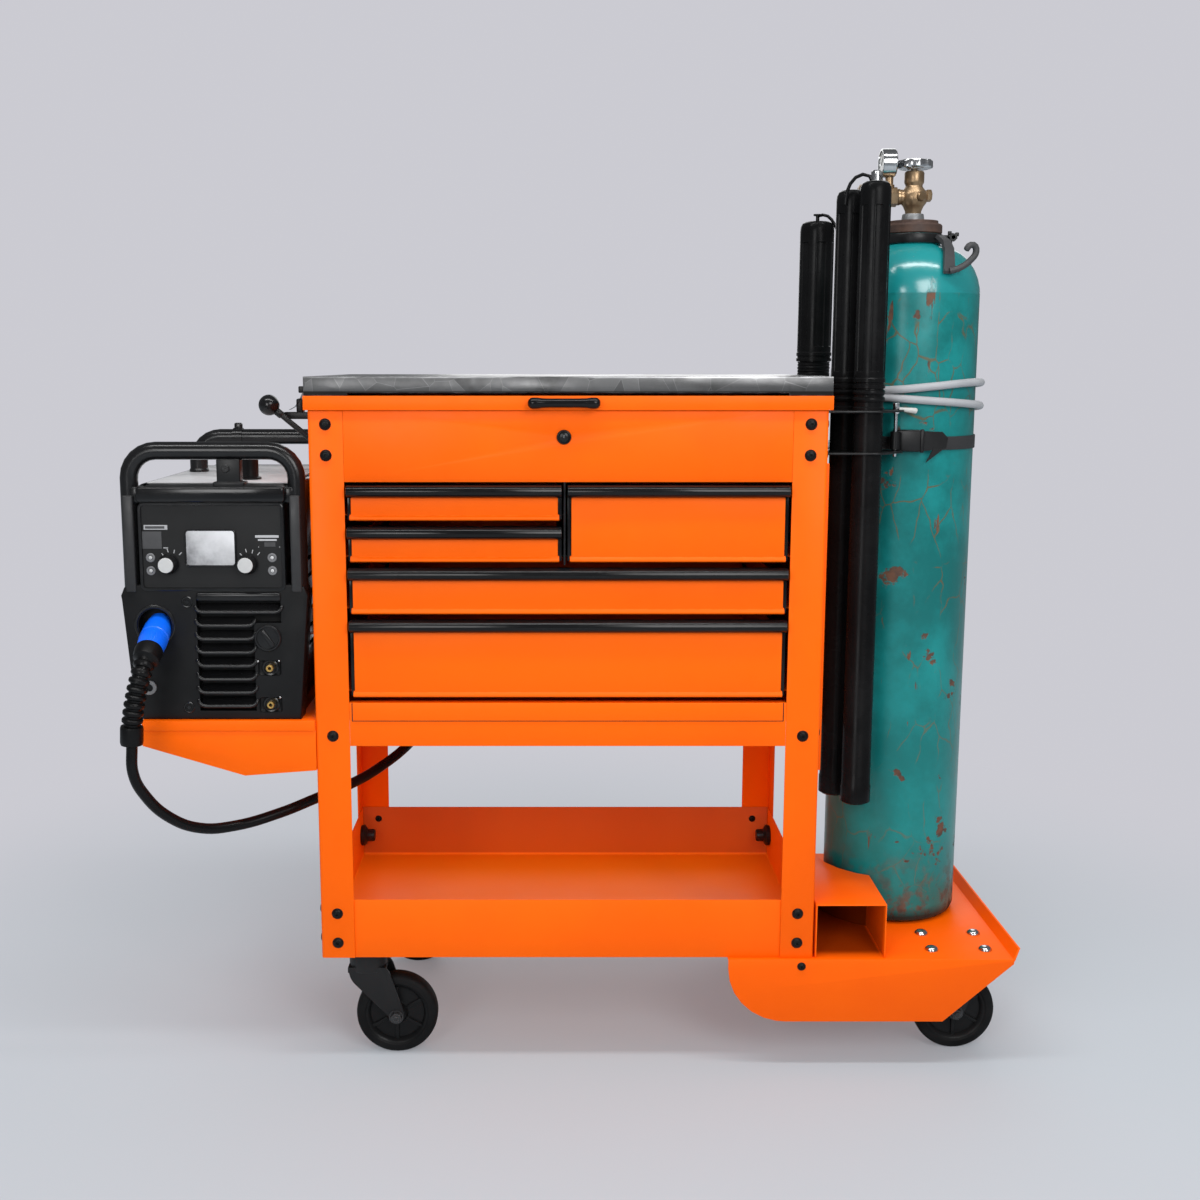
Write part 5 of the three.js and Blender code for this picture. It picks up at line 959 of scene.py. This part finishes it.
tail = ((99.5, 68, 931), (105, 54, 932), (109, 44, 911))
for outline in (fold, tail):
    drawn_out(bm, outline, (2.6, 1.0, 0))
bar(bm, (107, -8, 931), (122, 0, 957), 2.0)
spun(bm, [(3.9, 931), (7.5, 931), (7.5, 957), (3.9, 957)], (124.3, 0, 0), steps=28, closed=True)
bm.transform(facing)
piece("bottle_strap_buckle", bm, black_plastic, "cart", "webbing")
pale_lever = coating("pale_lever", (0.55, 0.545, 0.52), (0.45, 0.445, 0.42), (0.7, 0.7, 0.68), (0.35, 0.5))
bm = bmesh.new()
spun(bm, [(0, 920), (2.0, 920), (2.9, 922), (2.9, 991), (0, 991)], PIN, steps=24)
spun(bm, [(0, 984), (4.6, 984), (5.2, 985), (5.2, 999.4), (4, 1000.4), (0, 1000.4)], PIN, steps=28)
piece("strap_pin_shank", bm, chrome, "strap_pin", "chrome", "strap_pin")
bm = bmesh.new()
loft(bm, [Vector((490, 118, 991)), Vector((506, 118, 990)), Vector((523, 118, 988))],
     [(0, 3.0), (0.3, 3.0), (0.7, 4.0), (0.95, 4.4), (1.0, 3.4)], 20)
piece("strap_pin_lever", bm, pale_lever, "strap_pin", "white_plastic")

# Machine shelf: a folded orange deck on tapered gussets, with a hem along its front edge. Black button-head bolts fix
# its flange to the left legs.
eased("welder_shelf", orange, 0.6)
piece("welder_shelf_hem", bar(bmesh.new(), (-624, -2.2, 526), (-371, 0.6, 541), 1.0), orange, "cart", "orange_paint")
bm = bmesh.new()
for y in (70, 396):
    for z in (490, 520):
        button_head(bm, (-372.6, y, z), LEFT, 6.5, 3.8)
piece("welder_shelf_bolts", bm, black_bolt_finish, "cart", "black_paint")

# Welding machine, front: a moulded black front with a control panel, louvres, torch socket, two brass sockets and
# a screw cap, and a round carry hoop that stands in its side rails.
CX, BASE, FRONT = -513, 541.3, 8
moulding = coating("machine_moulding", (0.005, 0.005, 0.0054), (0.009, 0.009, 0.0094), (0.03, 0.03, 0.031),
                   (0.34, 0.48), (1300.0, 0.12), 0.35, shine=0.2, cloud=8.0)
hoop_plastic = coating("hoop_plastic", (0.006, 0.006, 0.0065), (0.011, 0.011, 0.0115), (0.03, 0.03, 0.03),
                       (0.18, 0.28), (700.0, 0.012), 0.3, shine=0.36, cloud=8.0)
gloss_black = coating("gloss_black_band", (0.004, 0.004, 0.0045), (0.008, 0.008, 0.0085), (0.04, 0.04, 0.04),
                      (0.1, 0.2), (200.0, 0.02), 0.3, shine=0.4)
MOULDING = [(-121, 0), (-135, 178), (-136, 184), (-131, 196), (-122, 200), (-104, 200), (-104, 334),
            (-101, 341), (-94, 344)]
MOULDING += [(-x, z) for x, z in reversed(MOULDING)]
TORCH_SOCKET, SOCKET_HEIGHTS = (CX - 88, FRONT, BASE + 141), (22, 77)


def carved(bm, tools):
    """The form left when tools are cut out of a body."""
    holders = []
    for shape in (bm, tools):
        bmesh.ops.recalc_face_normals(shape, faces=shape.faces)
        mesh = bpy.data.meshes.new("carve")
        shape.to_mesh(mesh)
        shape.free()
        holder = bpy.data.objects.new("carve", mesh)
        bpy.context.scene.collection.objects.link(holder)
        holders.append(holder)
    cutter = holders[0].modifiers.new("cut", "BOOLEAN")
    cutter.operation = "DIFFERENCE"
    cutter.solver = "EXACT"
    cutter.use_self = True
    cutter.object = holders[1]
    left = bmesh.new()
    left.from_mesh(holders[0].evaluated_get(bpy.context.evaluated_depsgraph_get()).to_mesh())
    for holder in holders:
        bpy.data.objects.remove(holder)
    return left


def moulded_end(bm, front, back, edge):
    """The outline of the machine drawn out from front to back, with its rims rounded."""
    ring, moved = drawn_out(bm, [(CX + x, front, BASE + z) for x, z in MOULDING], (0, back - front, 0))
    rims = [e for e in bm.edges if all(v in ring for v in e.verts) or all(v in moved for v in e.verts)]
    round_over(bm, rims, edge, 3)


def carry_hoop(bm, y, pad_front, pad_back):
    """A round hoop that stands in the side rails, with a square pad at the foot of each leg."""
    leg, top, bend = 121, BASE + 393, 40
    corner = [(math.cos(math.radians(a)), math.sin(math.radians(a))) for a in range(0, 91, 15)]
    line = [Vector((CX - leg, y, BASE + 174)), Vector((CX - leg, y, BASE + 250))]
    line += [Vector((CX - leg + bend - bend * c, y, top - bend + bend * s)) for c, s in corner]
    line += [Vector((CX + leg - bend + bend * s, y, top - bend + bend * c)) for c, s in corner]
    line += [Vector((CX + leg, y, BASE + 250)), Vector((CX + leg, y, BASE + 174))]
    total = sum((b - a).length for a, b in zip(line, line[1:]))
    run, shares = 0.0, [0.0]
    for a, b in zip(line, line[1:]):
        run += (b - a).length
        shares.append(min(run / total, 1.0))
    loft(bm, line, [(share, 13) for share in shares], 28)
    for side in (-1, 1):
        bar(bm, (CX + side * 110 - 9, pad_front, BASE + 318), (CX + side * 110 + 9, pad_back, BASE + 342), 4.0)


bm = bmesh.new()
moulded_end(bm, FRONT, 50, 2.2)
tools = bmesh.new()
bar(tools, (CX - 101.4, 0, BASE + 200.6), (CX + 101.4, FRONT + 2, BASE + 318.4), 0)
bar(tools, (CX - 27, 0, BASE + 13), (CX + 56, FRONT + 16, BASE + 178), 0)
bar(tools, (CX - 27, 0, BASE + 144), (CX + 96, FRONT + 16, BASE + 178), 0)
spun(tools, [(0, -9), (24, -9), (25, 27), (0, 27)], TORCH_SOCKET, BACK, 40)
for z in SOCKET_HEIGHTS:
    bar(tools, (CX + 60, 0, BASE + z - 11.5), (CX + 94, FRONT + 4.5, BASE + z + 11.5), 4.0)
piece("welder_front_moulding", carved(bm, tools), moulding, "cart", "black_plastic", "welder_front", crease=30)
bm = bmesh.new()
carry_hoop(bm, FRONT + 17, 12, 40)
piece("welder_front_hoop", bm, hoop_plastic, "cart", "black_plastic")
rail_grey = coating("rail_grey_plastic", (0.03, 0.03, 0.031), (0.02, 0.02, 0.021), (0.08, 0.08, 0.08), (0.3, 0.45),
                    (900.0, 0.06), 0.4, cloud=12.0)
bm = bmesh.new()
for side in (-1, 1):
    bar(bm, (CX + side * 120 - 7.5, 5.5, BASE + 189.5), (CX + side * 120 + 7.5, 15, BASE + 330), 2.4)
piece("welder_rail_strips", bm, rail_grey, "cart", "black_plastic")
bm = bmesh.new()
LOUVRES, PITCH = 8, 19.95
for k in range(LOUVRES):
    low = BASE + 20.8 + k * PITCH
    left, right = CX - 28, CX + (97 if k == LOUVRES - 1 else 57)
    lip_end = [(-1, 2, 10), (0.6, -1.2, 5), (6, -2.4, 0.8), (18, -2.8, 0)]
    lip = path_through([(left + x, FRONT + y, low + z) for x, y, z in lip_end] +
                       [(right - x, FRONT + y, low + z) for x, y, z in reversed(lip_end)])
    bend = (0.02, 0.04, 0.06, 0.08, 0.1, 0.12, 0.14, 0.17, 0.2)
    loft(bm, lip, [(0, 1.6)] + [(b, 2.9) for b in bend] + [(1 - b, 2.9) for b in reversed(bend)] + [(1, 1.6)], 20)
    section_bar(bm, [(FRONT - 2, low - 2), (FRONT - 2, low + 1.6), (FRONT + 14, low + 11), (FRONT + 14, low + 8)],
                left + 3, right - 3, 0.3)
bar(bm, (CX - 27, FRONT - 4, BASE + 176), (CX + 97, FRONT + 5, BASE + 189.5), 5.2, 5)
piece("welder_louvres", bm, hoop_plastic, "cart", "black_plastic")
dark = coating("louvre_shadow_mesh", (0.006, 0.006, 0.006), (0.01, 0.01, 0.01), (0.02, 0.02, 0.02), (0.7, 0.8))
piece("welder_louvre_back", bar(bmesh.new(), (CX - 27, FRONT + 15, BASE + 13), (CX + 96, FRONT + 17, BASE + 178), 0),
      dark, "cart", "black_plastic")
piece("welder_top_band", bar(bmesh.new(), (CX - 107, 1.5, BASE + 320), (CX + 107, 16, BASE + 343), 5.0, 4),
      gloss_black, "cart", "black_plastic")

# Small fittings on the machine's front: torch socket rim, screw cap with a grip bar, screws in round bosses, grey
# hose ring, and two brass sockets in their recesses.
SCREW_CAP = (CX + 76, FRONT, BASE + 122)
socket_brass = coating("socket_brass", (0.62, 0.40, 0.12), (0.5, 0.32, 0.1), (0.8, 0.6, 0.3), (0.2, 0.35), metal=0.9)
mid_grey = coating("mid_grey_plastic", (0.16, 0.16, 0.165), (0.12, 0.12, 0.125), (0.3, 0.3, 0.3), (0.4, 0.55))
bm = bmesh.new()
spun(bm, [(25, 2), (25, -1), (26, -2.4), (28.5, -2.6), (30, -1.4), (30, 1)], TORCH_SOCKET, BACK, 56, closed=True)
spun(bm, [(0, 17), (19.6, 17), (19.6, -4), (18.4, -5.4), (16.4, -5.4), (15.4, -3.2), (0, -3.2)], SCREW_CAP, BACK, 56)
turn = Matrix.Translation(SCREW_CAP) @ Matrix.Rotation(math.radians(55), 4, "Y")
round_over(bm, edges_of(block(bm, turn @ Matrix.Translation((0, -3.5, 0)), (28.4, 5, 6.8))), 1.4, 3)
for x, z in ((-40, 175), (-43, 18)):
    spun(bm, [(8.4, 1), (8.4, -0.6), (7.4, -1.6), (6.2, -1.4), (5.6, 0.4), (3.4, 0.4), (2.8, -0.8), (0, -0.8),
              (0, 1)], (CX + x, FRONT, BASE + z), BACK, 36, closed=True)
for z in SOCKET_HEIGHTS:
    spun(bm, [(0, 4.6), (12.4, 4.6), (12.4, 2.6), (10.8, 1.6), (8.6, 2.2), (7.6, 3.4), (0, 3.4)],
         (CX + 77, FRONT, BASE + z), BACK, 40)
piece("welder_front_fittings", bm, hoop_plastic, "cart", "black_plastic")
bm = bmesh.new()
for x, z in ((91, 33), (60, 87), (91, 88)):
    bmesh.ops.create_uvsphere(bm, u_segments=16, v_segments=10, radius=1.7,
                              matrix=Matrix.Translation((CX + x, FRONT - 0.4, BASE + z)))
piece("welder_socket_pins", bm, chrome, "cart", "chrome")
bm = bmesh.new()
for z in SOCKET_HEIGHTS:
    spun(bm, [(2.3, 4), (2.3, -3.0), (2.9, -3.8), (4.8, -3.8), (5.4, -3.0), (5.4, 4)], (CX + 77, FRONT, BASE + z),
         BACK, 32, closed=True)
piece("welder_brass_sockets", bm, socket_brass, "cart", "brass")
bm = bmesh.new()
spun(bm, [(5.6, 2), (5.6, -4), (6.4, -5), (9.4, -5), (10.4, -4), (10.4, 2)], (CX - 100, FRONT, BASE + 48), BACK, 36,
     closed=True)
piece("welder_hose_ring", bm, mid_grey, "cart", "panel_grey")

# Control panel: a dark grey plate in a raised frame, a framed display, two selector knobs with white caps, four
# round keys and plain light bars where the real one has words.
panel_grey = coating("panel_grey_plastic", (0.014, 0.014, 0.0143), (0.01, 0.01, 0.0103), (0.04, 0.04, 0.04),
                     (0.34, 0.46), (1200.0, 0.06), 0.2, shine=0.2)
print_grey = coating("printed_grey", (0.42, 0.42, 0.43), (0.34, 0.34, 0.35), (0.5, 0.5, 0.5), (0.4, 0.5))
print_dim = coating("printed_dim_grey", (0.06, 0.06, 0.062), (0.045, 0.045, 0.047), (0.1, 0.1, 0.1),
                    (0.4, 0.5), cloud=30.0)
PANEL_LOW, KNOB_Z = BASE + 201, BASE + 231


def rounded_plate(bm, left, right, low, high, front, back, corner):
    """A plate that faces the front with round corners; returns its front face."""
    made = block(bm, ((left + right) / 2, (front + back) / 2, (low + high) / 2),
                 (right - left, back - front, high - low))
    upright = [e for e in edges_of(made) if abs(e.verts[0].co.y - e.verts[1].co.y) > 1e-6]
    round_over(bm, upright, corner, 6, clamp=False)
    return min((f for f in bm.faces if len(f.verts) > 4), key=lambda f: f.calc_center_median().y)


bm = bmesh.new()
face = rounded_plate(bm, CX - 105.5, CX + 104, BASE + 191.5, BASE + 320, FRONT - 2.4, FRONT + 1.6, 9)
bmesh.ops.inset_region(bm, faces=[face], thickness=1.2, depth=0.6)
bmesh.ops.inset_region(bm, faces=[face], thickness=3.0)
bmesh.ops.inset_region(bm, faces=[face], thickness=0.7, depth=-2.8)
face.material_index = 1
piece("control_panel_plate", bm, [hoop_plastic, panel_grey], "cart", "panel_grey", "control_panel", crease=12)
bm = bmesh.new()
face = rounded_plate(bm, CX - 39.5, CX + 34.6, PANEL_LOW + 26, PANEL_LOW + 80.5, FRONT - 3.2, FRONT + 1, 6.5)
bmesh.ops.inset_region(bm, faces=[face], thickness=0.8, depth=0.4)
bmesh.ops.inset_region(bm, faces=[face], thickness=1.4, depth=-0.9)
piece("control_panel_display_frame", bm, hoop_plastic, "cart", "panel_grey", crease=20)
# The display glass has a painted reflection: a diagonal sweep from dark to bright, with pale patches of painted
# glare.
display, tree, shader, place = blank("display_glass_painted_reflection")
axes = put(tree, "ShaderNodeSeparateXYZ", {0: place}).outputs
tilt = maths(tree, "ADD", axes["Z"], axes["X"])
painted_reflection_sweep = ramp(tree, tilt, 0.22, 0.31)
painted_glare_patches = maths(tree, "MULTIPLY", patches(tree, place, 22.0, 0.3, 0.7), 0.5)
tone = mix(tree, painted_reflection_sweep, (0.10, 0.10, 0.105), (0.62, 0.62, 0.63))
wire(tree, shader, {"Base Color": mix(tree, painted_glare_patches, tone, (0.8, 0.8, 0.82)), "Roughness": 0.12, "Coat Weight": 0.4})
bm = bmesh.new()
rounded_plate(bm, CX - 37.1, CX + 32.2, PANEL_LOW + 28.4, PANEL_LOW + 78.1, FRONT - 2.9, FRONT, 4.2)
piece("control_panel_display", bm, display, "cart", "panel_grey")
bm = bmesh.new()
for left, right, low, high in ((-98, -64, 280.6, 287.4), (62, 96, 269, 272.6), (66, 93, 264.4, 267),
                               (96.4, 97.6, 255, 256.2), (66, 67.2, 255, 256.2), (-71, -64, 253.6, 254.8)):
    bar(bm, (CX + left, FRONT - 0.75, BASE + low), (CX + right, FRONT + 0.3, BASE + high), 0.15, 1)
for x in (-60, 53):
    for turn, out in ((-42, 18), (-14, 20), (14, 18.5), (42, 20)):
        mark = Matrix.Translation((CX + x, FRONT - 0.5, KNOB_Z)) @ Matrix.Rotation(math.radians(turn), 4, "Y")
        block(bm, mark @ Matrix.Translation((0, 0, out)), (1.2, 0.5, 5.2))
piece("control_panel_print", bm, print_grey, "cart", "panel_grey")
bm = bmesh.new()
bar(bm, (CX - 96, FRONT - 1.0, BASE + 282.2), (CX - 68, FRONT + 0.3, BASE + 285.8), 0.15, 1)
bar(bm, (CX - 101, FRONT - 0.6, BASE + 253), (CX - 73, FRONT + 0.3, BASE + 278), 0.15, 1)
bar(bm, (CX + 75, FRONT - 0.6, BASE + 256), (CX + 91, FRONT + 0.3, BASE + 262.4), 0.15, 1)
piece("control_panel_print_blocks", bm, print_dim, "cart", "panel_grey")
key_white = coating("key_white", (0.5, 0.5, 0.5), (0.4, 0.4, 0.4), (0.6, 0.6, 0.6), (0.25, 0.4))
KEY_RIM = [(3.4, 1), (3.4, -0.5), (4.0, -1.2), (5.8, -1.2), (6.6, -0.4), (6.6, 1)]
KEY = [(0, 1), (2.7, 1), (2.7, -0.8), (1.8, -1.5), (0, -1.7)]
for name, finish, profile in (("control_panel_key_rims", mid_grey, KEY_RIM), ("control_panel_keys", key_white, KEY)):
    bm = bmesh.new()
    for x in (-90, 85.6):
        for z in (221, 240):
            spun(bm, profile, (CX + x, FRONT - 0.6, BASE + z), BACK, 28, closed=profile is KEY_RIM)
    piece(name, bm, finish, "cart", "panel_grey")
knob_white = coating("knob_white", (0.56, 0.56, 0.555), (0.46, 0.46, 0.455), (0.8, 0.8, 0.8), (0.3, 0.42))
for side, x in (("left", -64), ("right", 50)):
    centre = (CX + x, FRONT - 0.3, KNOB_Z)
    bm = bmesh.new()
    spun(bm, [(0, 0), (14.4, 0), (14.8, -1.2), (14.6, -4), (13.4, -5.6), (12.4, -16.5), (11.4, -18), (0, -18)],
         centre, BACK, 60)
    for vert in bm.verts:
        away = Vector((vert.co.x - centre[0], vert.co.z - centre[2]))
        if vert.co.y < centre[1] - 5 and away.length > 11:
            push = 1 + 0.02 * math.cos(20 * math.atan2(away.y, away.x))
            vert.co.x = centre[0] + away.x * push
            vert.co.z = centre[2] + away.y * push
    piece(f"{side}_knob_skirt", bm, black_plastic, f"{side}_knob", "black_plastic", f"{side}_knob", crease=40)
    bm = bmesh.new()
    spun(bm, [(0, -17.6), (10.8, -17.6), (11.0, -18.4), (10.4, -19.6), (0, -20)], centre, BACK, 48)
    piece(f"{side}_knob_cap", bm, knob_white, f"{side}_knob", "white_plastic")

# Machine body: a black sheet wrap between the mouldings with cooling slots, a moulded rear with fan grille, mains
# gland and gas inlet, a second hoop, a pale top cover, and the cups and clamp that stand on it.
REAR_FACE, TOP, GRILLE_PITCH, GRILLE_RADIUS = 452.6, BASE + 344, 17, 78
GAS_INLET = (CX + 43, REAR_FACE, BASE + 58)
eased("welder_case", gloss_black, 0.4)
bm = bmesh.new()
moulded_end(bm, 420.6, REAR_FACE, 2.0)
tools = bmesh.new()
for k in range(-4, 5):
    half = math.sqrt(GRILLE_RADIUS ** 2 - (k * GRILLE_PITCH) ** 2)
    x = CX + k * GRILLE_PITCH
    bar(tools, (x - 4.5, 442, BASE + 190 - half), (x + 4.5, 460, BASE + 190 + half), 0)
piece("welder_rear_moulding", carved(bm, tools), moulding, "cart", "black_plastic", "welder_rear", crease=30)
bm = bmesh.new()
carry_hoop(bm, 435.6, 424, 450)
spun(bm, [(13.2, -8), (15, -8), (15, 8), (13.2, 8)], (-563, 435.6, BASE + 393), RIGHT, 36, closed=True)
bar(bm, (-569, 430, 945), (-556, 441, 958), 2.5)
piece("welder_rear_hoop", bm, hoop_plastic, "cart", "black_plastic")
bm = bmesh.new()
spun(bm, [(0, -2), (16, -2), (16, 5), (14, 6), (13, 12), (11, 14), (5, 14), (5, 8), (0, 8)],
     (CX - 66, REAR_FACE, BASE + 55), BACK, 40)
for x, z in ((-94, 20), (94, 20), (-92, 320), (92, 320)):
    spun(bm, [(0, 2), (4.6, 1.6), (6, 0), (6, -1), (0, -1)], (CX + x, REAR_FACE, BASE + z), BACK, 24)
piece("welder_rear_fittings", bm, black_plastic, "cart", "black_plastic")
bm = bmesh.new()
spun(bm, [(0, -2), (12, -2), (12, 9), (11, 10), (0, 10)], GAS_INLET, BACK, 6)
spun(bm, [(0, 8), (5, 8), (5, 12), (4, 14), (5, 16), (4, 18.5), (5, 20.5), (4, 23), (4.6, 26), (0, 26)], GAS_INLET,
     BACK, 28)
piece("welder_gas_inlet", bm, brass, "cart", "brass")
pale_cover = coating("pale_cover_sheet", (0.74, 0.74, 0.75), (0.62, 0.62, 0.63), (0.8, 0.8, 0.8), (0.12, 0.26),
                     (300.0, 0.03), 0.3)
piece("welder_top_cover", bar(bmesh.new(), (CX - 103, 51.5, TOP - 0.2), (CX + 103, 419, TOP + 1.2), 0.5), pale_cover,
      "cart", "panel_grey")
bm = bmesh.new()
spun(bm, [(0, 0), (15.4, 0), (15.4, 4), (14, 6), (14, 40), (12, 42), (0, 42)], (CX - 79, 270, TOP + 0.6), steps=40)
spun(bm, [(0, 0), (17.5, 0), (17.5, 3.4), (13.4, 5), (13.4, 34), (11, 36), (0, 36)],
     (CX + 35, 113, TOP + 0.6), steps=40)
piece("welder_top_cups", bm, black_plastic, "cart", "black_plastic")
bm = bmesh.new()
bar(bm, (CX + 3, 10, TOP - 2), (CX + 48, 38, TOP + 5), 1.8)
bar(bm, (CX + 8, 13, TOP + 3), (CX + 42, 35, TOP + 38), 2.4)
spun(bm, [(0, 0), (5.4, 0), (5.4, 3.4), (4.4, 4.4), (1.8, 4.4), (1.6, 2.8), (0, 2.8)],
     (CX + 22, 13, TOP + 24), FORWARD, 28)
piece("welder_top_clamp", bm, black_paint, "cart", "black_paint")

# Side clamp lever: a black arm with a ball knob, held by zinc nuts in a small bracket on the cart's left side. Beside
# it are the clamp's black bar and a bright bent sheet.
PIVOT = Vector((-388, 240, 925))
TIP = Vector((-470.5, 240, 993.5))
REACH = (TIP - PIVOT).length
lean = math.atan2(TIP.z - PIVOT.z, TIP.x - PIVOT.x)
bm = bmesh.new()
loft(bm, [Vector((0, 0, 0)), Vector((REACH - 8, 0, 0))], [(0, 4.6), (0.3, 4.6), (0.75, 4.4), (1, 4.0)], 24)
spun(bm, [(4.3, -3.5), (10, -3.5), (10, 3.5), (4.3, 3.5)], (0, 0, 0), BACK, 32, closed=True)
spun(bm, [(0, -8), (5.4, -8), (6.2, -6), (6.2, 4), (5, 6), (0, 6)], (REACH - 18, 0, 0), RIGHT, 28)
bm.transform(Matrix.Translation(PIVOT) @ Matrix.Rotation(-lean, 4, "Y"))
piece("lever_arm", bm, black_paint, "ball_lever", "black_paint", "ball_lever")
bm = bmesh.new()
bmesh.ops.create_uvsphere(bm, u_segments=48, v_segments=28, radius=16.4, matrix=Matrix.Translation(TIP))
piece("lever_ball", bm, hoop_plastic, "ball_lever", "black_plastic")
bm = bmesh.new()
for way in (FORWARD, BACK):
    spun(bm, [(0, 9.6), (7, 9.6), (7, 13), (6, 14), (0, 14)], PIVOT, way, 6)
piece("lever_pivot_nuts", bm, zinc, "cart", "chrome")
silver = coating("bright_clamp_sheet", (0.55, 0.555, 0.56), (0.36, 0.365, 0.37), (0.8, 0.8, 0.8), (0.2, 0.34),
                 (300.0, 0.04), 0.4, metal=0.8, cloud=18.0)
bm = bmesh.new()
bar(bm, (-453, 262, 970.5), (-371.5, 284, 981.5), 1.6)
bar(bm, (-432, 263, 980), (-421, 283, 1003), 3.0)
bar(bm, (-428, 264, 1012), (-418, 276, 1022.5), 1.6)
piece("side_clamp_bar", bm, black_paint, "cart", "black_paint")
bm = bmesh.new()
sheet_line = [(-455, 983.2), (-444, 985.0), (-434, 990.5), (-427, 999), (-421, 1013)]
rows = [[bm.verts.new((x, y, z)) for x, z in sheet_line] for y in (260, 286)]
for k in range(len(sheet_line) - 1):
    bm.faces.new((rows[0][k], rows[0][k + 1], rows[1][k + 1], rows[1][k]))
bmesh.ops.solidify(bm, geom=bm.faces[:], thickness=2.0)
piece("side_clamp_sheet", bm, silver, "cart", "chrome", crease=60)
